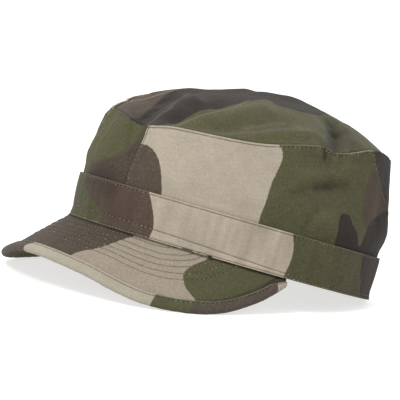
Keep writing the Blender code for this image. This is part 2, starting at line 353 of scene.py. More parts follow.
def dent_depth(angle, height):
    """How far the wide dents push the wall in."""
    depth = 0.0 * angle
    for place, share, turn, length, width, push in WALL_DENTS:
        middle = np.array(math.radians(place))
        around = (angle - middle + math.pi) % (2 * math.pi) - math.pi
        around = around * RIM_HALF_WIDTH
        rise = height - share * seam_height(middle)
        tip = math.radians(turn)
        along = (rise * math.cos(tip) + around * math.sin(tip)) / (DENT_LENGTH * length)
        across = (around * math.cos(tip) - rise * math.sin(tip)) / (DENT_LENGTH * width)
        depth = depth + DENT_DEPTH * push * np.exp(-along**2 - across**2)
    return depth


def crown_point(angle, height):
    """The crown's cloth: it lies inside the band, and puffs out above it."""
    puff = smooth_step((height - BAND_HEIGHT) / CROWN_PUFF_HEIGHT)
    inset = (BAND_WALL + GAP) * (1.0 - puff) + dent_depth(angle, height) * puff
    return wall_point(angle, height) - outward(angle) * inset[..., None]


def front_seam_angle(share):
    low = math.asin(FRONT_HALF_LOW / RIM_HALF_WIDTH)
    high = math.asin(FRONT_HALF_TOP / TOP_HALF_WIDTH)
    return low + (high - low) * share


def back_seam_angle(share):
    low = math.pi - math.asin(BACK_HALF_LOW / RIM_HALF_WIDTH)
    high = math.pi - math.asin(BACK_HALF_TOP / TOP_HALF_WIDTH)
    return low + (high - low) * np.sin(math.pi / 2 * share) ** BACK_SEAM_CURVE


# %% The top panel
def fold_rise(x, y, folds, spread_size, rise_size):
    """How far a table of folds lifts the cloth at each place in plan."""
    rise = 0.0 * x
    for x1, y1, x2, y2, spread, lift in folds:
        start = np.array((x1 * TOP_HALF_WIDTH, y1 * TOP_HALF_LENGTH))
        run = np.array((x2 * TOP_HALF_WIDTH, y2 * TOP_HALF_LENGTH)) - start
        from_x = x - start[0]
        from_y = y - TOP_SHIFT - start[1]
        share = np.clip((from_x * run[0] + from_y * run[1]) / (run @ run), 0.0, 1.0)
        away = np.hypot(from_x - run[0] * share, from_y - run[1] * share) / (spread_size * spread)
        rise = rise + rise_size * lift * np.exp(-away**2)
    return rise


def top_point(angle, radius, inset=CLOTH_WALL + 2 * GAP):
    """The dome of the top, from the seam at radius 1 to its middle at 0."""
    edge = crown_point(angle, seam_height(angle)) - outward(angle) * inset
    point = edge * radius[..., None]
    point[..., 1] += TOP_SHIFT * (1.0 - radius)
    held = smooth_step((1.0 - radius) / FOLD_HOLD)
    lean = 1.0 + DOME_LEAN * (point[..., 1] - TOP_SHIFT) / TOP_HALF_LENGTH
    dome = DOME_RISE * lean * (1.0 - radius**DOME_POWER)
    folds = fold_rise(point[..., 0], point[..., 1], TOP_FOLDS, FOLD_SPREAD, FOLD_RISE)
    point[..., 2] = seam_height(angle, radius) + dome + folds * held
    return point


# %% The peak and its tape
def peak_point(turn, share):
    """The peak's upper side: turn from -1 to 1, share from the band to the outer edge.

    Right of the middle its edge has sagged in use.
    """
    angle = PEAK_HALF_ANGLE * turn
    from_middle = np.minimum(np.abs(turn), 1.0)
    reach = PEAK_REACH * read_table(PEAK_SECTIONS, from_middle, 1)
    drop = PEAK_DROP * read_table(PEAK_SECTIONS, from_middle, 2)
    rim = wall_point(angle, 0.0 * angle)
    root = rim - outward(angle) * BAND_WALL / 2
    root[..., 2] -= GAP
    edge = rim + outward(angle) * reach[..., None]
    edge[..., 2] -= drop
    point = root + (edge - root) * share[..., None]
    sag = TIP_SAG * np.exp(-(((turn - SAG_PLACE) / SAG_SPREAD) ** 2))
    point[..., 2] -= sag * np.clip(share, 0.0, 1.0) ** SAG_POWER
    return point


def peak_normal(turn, share, step=1e-4):
    """Unit normals of the peak's upper side, from its slopes."""
    across = peak_point(turn + step, share) - peak_point(turn - step, share)
    along = peak_point(turn, share + step) - peak_point(turn, share - step)
    normal = np.cross(along, across)
    return normal / np.maximum(np.linalg.norm(normal, axis=-1, keepdims=True), TINY)


# %% [markdown]
# ## A sheet of cloth
#
# Every piece of the cap is a flat cut of cotton bent to shape, so every piece is made in one
# way. A grid stands for the flat cut. Its points go to a surface, and one extrusion gives the
# cloth its thickness. Rows crowd together near the cut edges, where the cloth rolls over
# within a millimetre, and spread out between them.

# %% Rows that crowd towards an edge
# distances from a cut edge in metres
EDGE_STEPS = (0.0, 0.00012, 0.0003, 0.0006, 0.0009, 0.0012, 0.0016, 0.0021, 0.0028)


def spread_rows(length, spacing, first=True, last=True):
    """Shares of a length, from 0 to 1, crowded at the ends that are cut edges."""
    start = np.array(EDGE_STEPS if first else EDGE_STEPS[:1])
    end = length - np.array(EDGE_STEPS if last else EDGE_STEPS[:1])[::-1]
    count = max(2, round((end[0] - start[-1]) / spacing))
    middle = np.linspace(start[-1], end[0], count + 1)[1:-1]
    return np.concatenate([start, middle, end]) / length


# %% Bend a grid and give it a wall
laid = {}


def lay_cloth(name, columns, rows, outer, inner, closed=False):
    """A grid bent to outer(u, v), then extruded, with the copy bent to inner(u, v)."""
    shape = bmesh.new()
    place = shape.verts.layers.int.new("place")
    bmesh.ops.create_grid(shape, x_segments=len(columns) - 1, y_segments=len(rows) - 1, size=0.5)
    outside = list(shape.verts)
    share = np.array([vert.co[:2] for vert in outside]) + 0.5
    column = np.rint(share[:, 0] * (len(columns) - 1)).astype(int)
    row = np.rint(share[:, 1] * (len(rows) - 1)).astype(int)
    points = outer(columns[column], rows[row])
    for vert, point, index in zip(outside, points.tolist(), (row * len(columns) + column).tolist()):
        vert.co = point
        vert[place] = index
    if closed:
        bmesh.ops.remove_doubles(shape, verts=shape.verts[:], dist=1e-6)
    grown = bmesh.ops.extrude_face_region(shape, geom=shape.faces[:], use_keep_orig=True)
    inside = [part for part in grown["geom"] if isinstance(part, bmesh.types.BMVert)]
    index = np.array([vert[place] for vert in inside])
    points = inner(columns[index % len(columns)], rows[index // len(columns)])
    for vert, point in zip(inside, points.tolist()):
        vert.co = point
        vert[place] += len(columns) * len(rows)
    bmesh.ops.recalc_face_normals(shape, faces=shape.faces[:])
    mesh = bpy.data.meshes.new(name)
    shape.to_mesh(mesh)
    shape.free()
    return finish_cloth(name, mesh, columns, rows)


def finish_cloth(name, mesh, columns, rows):
    """Tip the cloth back with the cap, and note each point's place on the flat cut."""
    index = np.empty(len(mesh.vertices), dtype=np.int32)
    mesh.attributes["place"].data.foreach_get("value", index)
    mesh.attributes.remove(mesh.attributes["place"])
    level = np.empty(3 * len(index))
    mesh.vertices.foreach_get("co", level)
    level = level.reshape(-1, 3)
    mesh.vertices.foreach_set("co", set_down(level.copy()).ravel())
    mesh.shade_smooth()
    mesh.update()
    piece = bpy.data.objects.new(name, mesh)
    bpy.context.scene.collection.objects.link(piece)
    whole = len(columns) * len(rows)
    laid[name] = {
        "u": columns[index % whole % len(columns)],
        "v": rows[index % whole // len(columns)],
        "inside": (index >= whole).astype(float),
        "level": level,
    }
    print(f"{name}: {len(columns)} x {len(rows)} points, {len(mesh.polygons)} faces")
    return piece


# %% [markdown]
# ## How the cotton moves
#
# Pressed cotton is never quite flat. It carries wide soft hollows, small crumples, and puckers
# where a line of stitching has drawn it in. The hollows and crumples come from smooth noise in
# space, so two pieces that meet at a seam move together. Cut edges round off, and a line of
# stitches lies in a groove of its own.

# %% Crumples, rolled edges and grooves
EDGE_ROLL = 0.0005
HOLLOW_SIZE = 0.026
HOLLOW_DEPTH = 0.0014
CRUMPLE_SIZE = 0.0085
CRUMPLE_DEPTH = 0.00045
PUCKER_SIZE = 0.0042
PUCKER_DEPTH = 0.00045
PUCKER_BUNCH = 0.00130
PUCKER_REACH = 0.0060
LAP_RISE = 0.00045
LAP_WIDTH = 0.0062
LAP_FALL = 0.0014
PUCKER_UPRIGHT = 0.35
BUNCH_FIRST = 84.0
BUNCH_LAST = 112.0
BUNCH_FADE = 8.0
FREE_HEIGHT = 0.006
CREASE_POWER = 1.6
STITCH_INSET = 0.0014
GROOVE_DEPTH = 0.00040
GROOVE_WIDTH = 0.00042
MM_PER_DEGREE = 1.54
# columns: angle in degrees and height in millimetres at both ends, half width and depth in
# millimetres; a depth below zero is a ridge
WALL_CREASES = (
    (79.0, 49.5, 90.0, 57.5, 2.4, 0.8),
    (90.0, 57.5, 104.0, 63.0, 2.8, 1.5),
    (83.0, 63.0, 101.0, 69.5, 3.4, -0.9),
    (92.0, 90.0, 92.6, 75.0, 2.0, 1.5),
    (97.0, 86.0, 98.0, 75.0, 2.4, -0.7),
    (103.0, 88.0, 104.0, 74.0, 3.0, -0.7),
    (90.5, 40.0, 98.0, 43.0, 3.6, -1.1),
    (86.5, 31.0, 90.5, 43.5, 2.0, 1.0),
    (98.0, 30.0, 108.0, 33.0, 2.4, 0.5),
    (52.5, 88.0, 51.0, 76.0, 1.8, 0.35),
    (38.0, 74.0, 44.0, 70.0, 2.4, 0.3),
    (4.0, 68.0, 9.0, 50.0, 2.6, 0.6),
    (-6.0, 64.0, -9.0, 46.0, 2.8, -0.5),
    (-20.0, 64.0, -14.0, 50.0, 5.0, -2.2),
    (134.0, 62.0, 140.0, 44.0, 9.0, -0.9),
    (158.0, 84.0, 162.0, 62.0, 3.0, 0.9),
    (168.0, 88.0, 175.0, 66.0, 3.2, 0.8),
    (196.0, 90.0, 190.0, 58.0, 3.0, -0.8),
    (262.0, 62.0, 284.0, 54.0, 2.8, 1.1),
    (258.0, 70.0, 280.0, 64.0, 3.4, -0.8),
    (300.0, 82.0, 304.0, 62.0, 2.6, 0.8),
)


def ripple(points, size, seed):
    """Smooth noise from -1 to 1 at each place; the seed moves it, so that no two are alike."""
    spots = (points / size + np.array(seed)).reshape(-1, 3).tolist()
    return np.array([noise.noise(spot) for spot in spots]).reshape(points.shape[:-1])


def squashed(points, upright):
    """Places with their heights scaled, which stretches noise that is read there upwards."""
    return points * np.array((1.0, 1.0, upright))


def rolled_edge(away, roll=EDGE_ROLL):
    """How deep a cut edge rounds off at a distance from it."""
    short = roll - np.clip(away, 0.0, roll)
    return np.sqrt(roll**2 - short**2) - roll


def groove(away, place=STITCH_INSET, depth=GROOVE_DEPTH, width=GROOVE_WIDTH):
    """The trough that a row of stitches draws into the cloth."""
    return -depth * np.exp(-(((away - place) / width) ** 2))


def lap(away, rise=LAP_RISE, width=LAP_WIDTH):
    """A turned edge: double cloth that stands up beside a seam."""
    return rise * smooth_step((width - away) / LAP_FALL)


def from_line(spot, start, run):
    """Distance of each spot from a straight line on the laid-out wall, in millimetres."""
    share = np.clip(((spot - start) @ run) / (run @ run), 0.0, 1.0)
    return np.linalg.norm(spot - start - share[..., None] * run, axis=-1)


def crease_depth(angle, height):
    """Lines along which the crown's cloth has folded in use."""
    spot = np.stack([np.degrees(angle) % 360.0 * MM_PER_DEGREE, 1000 * height], axis=-1)
    depth = 0.0 * angle
    for first_angle, first_height, last_angle, last_height, width, push in WALL_CREASES:
        start = np.array((first_angle % 360.0 * MM_PER_DEGREE, first_height))
        run = np.array(((last_angle - first_angle) * MM_PER_DEGREE, last_height - first_height))
        away = from_line(spot, start, run) / width
        depth = depth + 0.001 * push * np.exp(-away**CREASE_POWER)
    return depth


def crown_sway(angle, height):
    """Wide hollows, crumples and seam puckers; the seam is bunched over the left ear."""
    point = crown_point(angle, height)
    free = smooth_step((height - BAND_HEIGHT) / FREE_HEIGHT)
    hollow = HOLLOW_DEPTH * ripple(point, HOLLOW_SIZE, (3.1, 8.4, 1.7))
    crumple = CRUMPLE_DEPTH * ripple(point, CRUMPLE_SIZE, (7.3, 2.2, 5.9))
    below = seam_height(angle) - height
    bunched = within(np.degrees(angle) % 360.0, BUNCH_FIRST, BUNCH_LAST, BUNCH_FADE)
    pucker = ripple(squashed(point, PUCKER_UPRIGHT), PUCKER_SIZE, (1.4, 6.6, 9.2))
    pucker = (PUCKER_DEPTH + PUCKER_BUNCH * bunched) * pucker * np.exp(-below / PUCKER_REACH)
    return free * (hollow + crumple + pucker - crease_depth(angle, height))


def crown_cloth(angle, height):
    return crown_point(angle, height) + outward(angle) * crown_sway(angle, height)[..., None]


# %% [markdown]
# ## The wall panels
#
# Four panels make the wall: a narrow one over the peak, two long sides and a broad one at the
# back. The long sides lap over their neighbours, so their edges stand up beside the seams and
# carry all the visible stitching. Each panel runs down inside the band, out of sight.

# %% Lay the wall panels
PANEL_SPACING = 0.00092
SIDE_LENGTH = 0.200
FRONT_LENGTH = 0.047
BACK_LENGTH = 0.090
TURN = 2 * math.pi


def panel_places(first_edge, last_edge):
    """Angle and height of each place on a panel between two seams."""
    half_gap = GAP / (2 * TOP_HALF_WIDTH)
    foot = BAND_HEIGHT - CROWN_TUCK

    def places(u, v):
        first = first_edge(v) + half_gap
        last = last_edge(v) - half_gap
        angle = first + (last - first) * u
        return angle, foot + v * (seam_height(angle) - foot)

    return places


def lay_panel(name, first_edge, last_edge, length, lapped):
    """One panel between two seams; a lapped one has turned and stitched edges."""
    places = panel_places(first_edge, last_edge)
    middle = np.array(0.5 * (first_edge(1.0) + last_edge(1.0)))
    tall = seam_height(middle) - BAND_HEIGHT + CROWN_TUCK

    def relief(u, v, angle, height):
        span = (last_edge(v) - first_edge(v)) * RIM_HALF_WIDTH
        from_side = np.minimum(u, 1.0 - u) * span
        from_top = seam_height(angle) - height
        rise = rolled_edge(from_side) + rolled_edge(from_top)
        if lapped:
            rise = rise + lap(from_top) + groove(from_top) + lap(from_side) + groove(from_side)
        return np.where(height > BAND_HEIGHT, rise, np.minimum(rise, 0.0))

    def outer(u, v):
        angle, height = places(u, v)
        return crown_cloth(angle, height) + outward(angle) * relief(u, v, angle, height)[..., None]

    def inner(u, v):
        angle, height = places(u, v)
        return crown_cloth(angle, height) - outward(angle) * CLOTH_WALL

    columns = spread_rows(length, PANEL_SPACING)
    rows = spread_rows(float(tall), PANEL_SPACING, first=False)
    piece = lay_cloth(name, columns, rows, outer, inner)
    angle, height = places(laid[name]["u"], laid[name]["v"])
    laid[name].update(angle=angle, height=height, surface=outer, places=places)
    return piece


def right_back_seam(share):
    return TURN - back_seam_angle(share)


side_left = lay_panel("side_panel_left_cloth", front_seam_angle, back_seam_angle, SIDE_LENGTH, True)
side_right = lay_panel(
    "side_panel_right_cloth", right_back_seam, lambda v: TURN - front_seam_angle(v), SIDE_LENGTH, True,
)
front = lay_panel("front_panel_cloth", lambda v: -front_seam_angle(v), front_seam_angle, FRONT_LENGTH, False)
back = lay_panel("back_panel_cloth", back_seam_angle, right_back_seam, BACK_LENGTH, False)

# %% [markdown]
# ## The top
#
# The top is one oval of cloth, larger than the ring it is sewn into, so it domes up and falls
# into a few soft folds that run in from the front left. Its edge turns down inside the wall.
# The fold crests are pressed sharper than the folds themselves.

# %% Lay the top panel
TOP_ROLL = 0.0010
TOP_RADIUS = 0.0840
TOP_COLUMNS = 420
TOP_SPACING = 0.00115
TOP_SWAY = 0.0007
TOP_SWAY_SIZE = 0.019
TOP_CRUMPLE = 0.00035
TOP_CRUMPLE_SIZE = 0.0075
TOP_HOLD = 0.06
CREST_SPREAD = 0.0016
CREST_RISE = 0.0006
SEAM_SWAY_FADE = 8
NORMAL_STEP_AROUND = 4e-4
NORMAL_STEP_DOWN = 2e-3
# columns: place in widths of the roll, weight
ROLL_WEIGHTS = ((-1.0, 1.0), (-0.5, 2.0), (0.0, 3.0), (0.5, 2.0), (1.0, 1.0))
# the sharp fold on the far side of the top, with the columns of the next table
FAR_FOLD = (
    (-0.58, -0.82, -0.53, -0.73, 0.7, 1.1),
    (-0.53, -0.73, -0.51, -0.44, 0.7, 1.1),
)
# columns: both ends as shares of the top's half width and half length, spread, rise
TOP_CRESTS = (
    (0.23, -0.95, 0.13, -0.76, 0.8, 1.0),
    (0.13, -0.76, -0.34, -0.42, 0.9, 1.0),
    (0.46, -0.86, 0.43, -0.54, 0.9, 1.0),
    (0.43, -0.54, 0.14, -0.19, 1.0, 0.8),
    (0.63, -0.42, 0.58, -0.10, 1.2, 0.6),
    (0.60, -0.05, 0.92, -0.02, 1.0, 0.5),
    (0.25, 0.39, 0.49, 0.27, 1.6, 0.9),
    (0.49, 0.27, 0.93, 0.06, 1.8, 1.8),
    (0.38, 0.41, 0.60, 0.31, 2.6, -2.8),
    (0.60, 0.31, 0.97, 0.14, 2.8, -4.4),
    (0.45, 0.50, 0.72, 0.44, 3.0, -3.2),
    (-0.45, -0.18, -0.34, 0.05, 5.5, -3.2),
    (-0.17, 0.10, -0.08, 0.24, 5.0, 1.6),
    *FAR_FOLD,
    (-0.20, -0.86, -0.36, -0.60, 1.4, -0.9),
    (0.06, -0.92, -0.16, -0.72, 2.0, -2.0),
)


def top_radius(down):
    """Share of the way from the middle to the seam, at a distance from the hem."""
    return np.clip(1.0 - (down - TOP_TURN) / TOP_RADIUS, 0.0, 1.0)


def top_raw(angle, down):
    """The top panel at a distance from its turned-down hem."""
    inset = CLOTH_WALL + 2 * GAP
    radius = top_radius(down)
    point = top_point(angle, radius, inset)
    hem = seam_height(angle) - np.maximum(TOP_TURN - down, 0.0)
    sway = outward(angle) * (crown_sway(angle, seam_height(angle)) * radius**SEAM_SWAY_FADE)[..., None]
    turned = crown_point(angle, hem) - outward(angle) * inset
    return np.where((down < TOP_TURN)[..., None], turned, point) + sway


def top_sheet(u, v):
    """The outer side: its edge rounded over the seam, with crests, sway and crumples on it."""
    angle, down = TURN * u, v * (TOP_TURN + TOP_RADIUS)
    radius = top_radius(down)
    width = TOP_ROLL * smooth_step(8.0 * radius)
    whole = sum(weight for _, weight in ROLL_WEIGHTS)
    point = sum(weight * top_raw(angle, down + shift * width) for shift, weight in ROLL_WEIGHTS) / whole
    free = smooth_step((1.0 - radius) / TOP_HOLD)
    crest = fold_rise(point[..., 0], point[..., 1], TOP_CRESTS, CREST_SPREAD, CREST_RISE)
    spot = squashed(point, 0.0)
    sway = TOP_SWAY * ripple(spot, TOP_SWAY_SIZE, (4.4, 1.9, 7.2))
    sway = sway + TOP_CRUMPLE * ripple(spot, TOP_CRUMPLE_SIZE, (9.1, 3.3, 2.6))
    point[..., 2] += free * (crest + sway)
    return point


def top_normal(u, v):
    """Unit normals of the top, straight up where its columns meet in the middle."""
    across = top_sheet(u + NORMAL_STEP_AROUND, v) - top_sheet(u - NORMAL_STEP_AROUND, v)
    along = top_sheet(u, v + NORMAL_STEP_DOWN) - top_sheet(u, np.maximum(v - NORMAL_STEP_DOWN, 0.0))
    normal = np.cross(across, along)
    length = np.linalg.norm(normal, axis=-1, keepdims=True)
    return np.where(length > TINY, normal / np.maximum(length, TINY), np.array((0.0, 0.0, 1.0)))


top_columns = np.linspace(0.0, 1.0, TOP_COLUMNS + 1)
top_rows = spread_rows(TOP_TURN + TOP_RADIUS, TOP_SPACING, last=False)
top = lay_cloth(
    "top_panel_cloth", top_columns, top_rows, top_sheet,
    lambda u, v: top_sheet(u, v) - CLOTH_WALL * top_normal(u, v), closed=True,
)

# %% [markdown]
# ## The band
#
# The band is a doubled strip round the foot of the wall, higher than the seam it covers, so
# its upper edge stands clear of the crown and casts a fine shadow. One row of stitches follows
# that edge, one follows the lower edge, and a third wanders above the peak.

# %% Lay the band
BAND_COLUMNS = 660
BAND_SPACING = 0.00062
BAND_SWAY = 0.00050
BAND_SWAY_SIZE = 0.017
BAND_SWAY_UPRIGHT = 0.22
BAND_HOLD = 0.004
BAND_CREASE = 0.00030
BAND_BENT_CREASE = 0.00030
BAND_CREASE_SIZE = 0.0046
BAND_CREASE_UPRIGHT = 0.16
BENT_FIRST = 54.0
BENT_LAST = 88.0
BENT_FADE = 8.0
BAND_TOP_ROLL = 0.0008
BAND_FOOT_ROLL = 0.0006
BAND_MIDDLE_GROOVE = 0.00026
BAND_TOP_ROW = 0.0013
BAND_FOOT_ROW = 0.0009
# columns: angle in degrees, height of the middle row in metres
BAND_MIDDLE_ROW = (
    (-180.0, 0.0024), (-120.0, 0.0024), (-85.0, 0.0028), (-67.0, 0.0040), (-51.0, 0.0052),
    (-33.0, 0.0062), (0.0, 0.0070), (33.0, 0.0062), (51.0, 0.0052), (67.0, 0.0040), (85.0, 0.0028),
    (120.0, 0.0024), (180.0, 0.0024),
)


def middle_row(angle):
    """Height of the row of stitches that wanders above the peak."""
    return read_table(BAND_MIDDLE_ROW, half_turned(angle), 1)


def band_creases(angle, height):
    """Upright creases all round the band, stronger where it has been bent over the peak's end."""
    spot = squashed(wall_point(angle, height), BAND_CREASE_UPRIGHT)
    bent = within(np.degrees(angle), BENT_FIRST, BENT_LAST, BENT_FADE)
    return (BAND_CREASE + BAND_BENT_CREASE * bent) * ripple(spot, BAND_CREASE_SIZE, (6.2, 0.4, 3.5))


def band_relief(angle, height):
    """Sway, creases, rolled edges and grooves; the upper edge is held to its height."""
    from_top = BAND_HEIGHT - height
    spot = squashed(wall_point(angle, height), BAND_SWAY_UPRIGHT)
    sway = BAND_SWAY * ripple(spot, BAND_SWAY_SIZE, (2.7, 5.1, 8.8)) + band_creases(angle, height)
    edge = rolled_edge(from_top, BAND_TOP_ROLL) + rolled_edge(height, BAND_FOOT_ROLL)
    stitched = groove(from_top, BAND_TOP_ROW) + groove(height, BAND_FOOT_ROW)
    stitched = stitched + groove(height, middle_row(angle), BAND_MIDDLE_GROOVE)
    held = smooth_step(np.minimum(from_top, height + BAND_HOLD) / BAND_HOLD)
    return sway * held + edge + stitched


def band_sheet(u, v):
    angle, height = TURN * u - math.pi, BAND_HEIGHT * v
    return wall_point(angle, height) + outward(angle) * band_relief(angle, height)[..., None]


def band_lining(u, v):
    angle, height = TURN * u - math.pi, BAND_HEIGHT * v
    return wall_point(angle, height) - outward(angle) * BAND_WALL


band_columns = np.linspace(0.0, 1.0, BAND_COLUMNS + 1)
band_rows = spread_rows(BAND_HEIGHT, BAND_SPACING)
band = lay_cloth("band_cloth", band_columns, band_rows, band_sheet, band_lining, closed=True)
band_cut = laid[band.name]
band_cut.update(angle=TURN * band_cut["u"] - math.pi, height=BAND_HEIGHT * band_cut["v"])

# %% [markdown]
# ## The peak
#
# A stiff board lies between two layers of cloth and curves down in front. Rows of stitching
# hold the layers together: they follow the outer edge, drift away from it towards the ends,
# and run out under the band. Between the rows the cloth swells a little, like a shallow quilt.

# %% Lay the peak
PEAK_COLUMNS = 360
PEAK_SPACING = 0.00048
# columns: distance of a row from the outer edge at the front, and how much it grows by the ends
PEAK_ROWS = (
    (0.0187, 0.0075), (0.0228, 0.0095), (0.0262, 0.0150),
    (0.0305, 0.0170), (0.0349, 0.0170), (0.0392, 0.0220),
)
PEAK_LENGTH = 0.047
PEAK_GROOVE = 0.00028
PEAK_GROOVE_WIDTH = 0.00050
QUILT_RISE = 0.00015
QUILT_REACH = 0.0018
QUILT_START = 0.002
PEAK_SWAY = 0.00035
PEAK_SWAY_SIZE = 0.011
PEAK_SWAY_FADE = 0.004
UNDERSIDE_QUILT = 0.6
RIM_POINTS = 1601
RIM_PARTS = 60
PEAK_TUCK = 0.00110
PEAK_TUCK_REACH = 0.0008

edge_turns = np.linspace(-1.0, 1.0, RIM_POINTS)
peak_rim = peak_point(edge_turns, np.ones_like(edge_turns))


def from_peak_rim(points):
    """Distance of each place from the peak's outer edge."""
    parts = np.array_split(points.reshape(-1, 3), RIM_PARTS)
    near = [np.linalg.norm(peak_rim[None] - part[:, None], axis=-1).min(axis=1) for part in parts]
    return np.concatenate(near).reshape(points.shape[:-1])


def peak_width(turn, share=1.0):
    """Distance up the peak, from its root to a share of its reach."""
    there = peak_point(turn, share * np.ones_like(turn))
    return np.linalg.norm(there - peak_point(turn, np.zeros_like(turn)), axis=-1)


def past_rows(turn, away):
    """Signed distance past each row of stitches."""
    return [away - middle - lean * turn**2 for middle, lean in PEAK_ROWS]


def quilt(turn, share):
    """Grooves under the rows, the swell between them and a little sway, none of it by the tape."""
    point = peak_point(turn, share)
    away = from_peak_rim(point)
    gaps = past_rows(turn, away)
    rise = sum(groove(gap, 0.0, PEAK_GROOVE, PEAK_GROOVE_WIDTH) for gap in gaps)
    nearest = np.min(np.abs(gaps), axis=0)
    swell = QUILT_RISE * smooth_step(nearest / QUILT_REACH)
    swell = swell * smooth_step((gaps[0] + QUILT_START) / QUILT_START)
    sway = PEAK_SWAY * ripple(point, PEAK_SWAY_SIZE, (5.5, 2.1, 0.7))
    return rise + swell + sway * smooth_step((away - BINDING_WIDTH) / PEAK_SWAY_FADE)


def peak_sheet(u, v):
    """The upper side; along its root it rises a little behind the band's lower edge."""
    turn, share = 2 * u - 1, 1 - v
    point = peak_point(turn, share)
    point = point + peak_normal(turn, share) * quilt(turn, share)[..., None]
    point[..., 2] += PEAK_TUCK * np.exp(-((share * peak_width(turn) / PEAK_TUCK_REACH) ** 2))
    return point


def peak_underside(u, v):
    turn, share = 2 * u - 1, 1 - v
    depth = PEAK_WALL + UNDERSIDE_QUILT * quilt(turn, share)
    return peak_point(turn, share) - peak_normal(turn, share) * depth[..., None]


peak_columns = np.linspace(0.0, 1.0, PEAK_COLUMNS + 1)
peak_rows = spread_rows(PEAK_LENGTH, PEAK_SPACING, first=False, last=False)
peak = lay_cloth("peak_cloth", peak_columns, peak_rows, peak_sheet, peak_underside)
peak_cut = laid[peak.name]
peak_cut.update(turn=2 * peak_cut["u"] - 1, share=1 - peak_cut["v"])

# %% [markdown]
# ## The tape on the peak's edge
#
# A bias strip of the same cloth is folded over the peak's outer edge and stitched down near
# its own inner edge. Outside the stitches it stands up as a soft roll; below it lies flatter.

# %% Lay the edge tape
TAPE_COLUMNS = 400
TAPE_ROW = 0.0015
TAPE_SWELL = 0.00030
TAPE_UNDER = 0.00040
TAPE_THINNEST = 0.0001
TAPE_RUCK = 0.00022
TAPE_RUCK_SIZE = 0.0034
TAPE_RUCK_DRIFT = 0.004
TAPE_ROLL = 0.0006
TAPE_ROLL_RISE = 0.0024
TAPE_GROOVE = 0.00055
TAPE_GROOVE_WIDTH = 0.00050
TAPE_SPACING = 0.0006
TAPE_TURN_ROWS = 15


def tape_point(turn, v, extra):
    """The tape, from its under leg round the edge to its upper leg, at a height over the board."""
    edge = peak_point(turn, np.ones_like(turn))
    root = peak_point(turn, np.zeros_like(turn))
    width = np.linalg.norm(root - edge, axis=-1, keepdims=True)
    inward = (root - edge) / np.maximum(width, 1e-9)
    up = peak_normal(turn, np.full_like(turn, 0.5))
    leg = np.minimum(BINDING_WIDTH, width * BINDING_END_SHARE)
    radius = (PEAK_WALL / 2 + GAP + extra)[..., None]
    flat = BINDING_LEG_SHARE
    under = np.clip(1 - v / flat, 0.0, 1.0)[..., None]
    over = np.clip((v - 1 + flat) / flat, 0.0, 1.0)[..., None]
    swing = math.pi * np.clip((v - flat) / (1 - 2 * flat), 0.0, 1.0)[..., None]
    middle = edge - up * PEAK_WALL / 2
    return middle + inward * (leg * (under + over) - radius * np.sin(swing)) - up * radius * np.cos(swing)


def upper_side(v):
    """Nothing on the tape's under leg, one on its upper leg."""
    return smooth_step((v - 0.3) / 0.4)


def from_leg_edge(v):
    """Distance from the nearer cut edge of the tape."""
    return np.minimum(v, 1 - v) / BINDING_LEG_SHARE * BINDING_WIDTH


def tape_relief(turn, v):
    """Rolled edges, a groove under the stitches and a soft roll outside them."""
    away = from_leg_edge(v)
    spot = peak_point(turn, np.ones_like(turn)) + v[..., None] * TAPE_RUCK_DRIFT
    ruck = TAPE_RUCK * ripple(spot, TAPE_RUCK_SIZE, (8.1, 4.7, 6.3))
    roll = TAPE_SWELL * smooth_step((away - TAPE_ROW - TAPE_ROLL) / TAPE_ROLL_RISE) * upper_side(v)
    stitched = groove(away, TAPE_ROW, TAPE_GROOVE, TAPE_GROOVE_WIDTH)
    return rolled_edge(away, TAPE_ROLL) + stitched + roll + ruck


def tape_sheet(u, v):
    turn = 2 * u - 1
    wall = TAPE_UNDER + (BINDING_WALL - TAPE_UNDER) * upper_side(v)
    return tape_point(turn, v, wall + np.maximum(tape_relief(turn, v), TAPE_THINNEST - wall))


leg_rows = spread_rows(BINDING_WIDTH, TAPE_SPACING, last=False) * BINDING_LEG_SHARE
fold_rows = np.linspace(BINDING_LEG_SHARE, 1 - BINDING_LEG_SHARE, TAPE_TURN_ROWS + 2)[1:-1]
tape_rows = np.concatenate([leg_rows, fold_rows, 1 - leg_rows[::-1]])
tape = lay_cloth(
    "peak_binding_tape", np.linspace(0.0, 1.0, TAPE_COLUMNS + 1), tape_rows, tape_sheet,
    lambda u, v: tape_point(2 * u - 1, v, 0.0 * v),
)
tape_cut = laid[tape.name]
tape_cut["turn"] = 2 * tape_cut["u"] - 1

# %% [markdown]
# ## The printed pattern
#
# The cotton is printed before it is cut: large rounded patches of green, brown and black on a
# tan ground, each colour printed over the last. The patches don't match across the seams,
# because each piece comes from another part of the roll. A patch is drawn as a few corners on
# the flat cut and rounded off. Each point of the cloth then gets its distance inside the
# nearest patch of each colour, and the material turns that distance into an edge. This keeps
# the print sharp at any size, with no picture.

# %% Distance inside a patch
FAR = 4.0


def round_off(corners, times=2):
    """Cut the corners of a closed outline again and again until it is a soft curve."""
    points = np.array(corners, dtype=float)
    for _ in range(times):
        after = np.roll(points, -1, axis=0)
        points = np.stack([0.75 * points + 0.25 * after, 0.25 * points + 0.75 * after], axis=1).reshape(-1, 2)
    return points


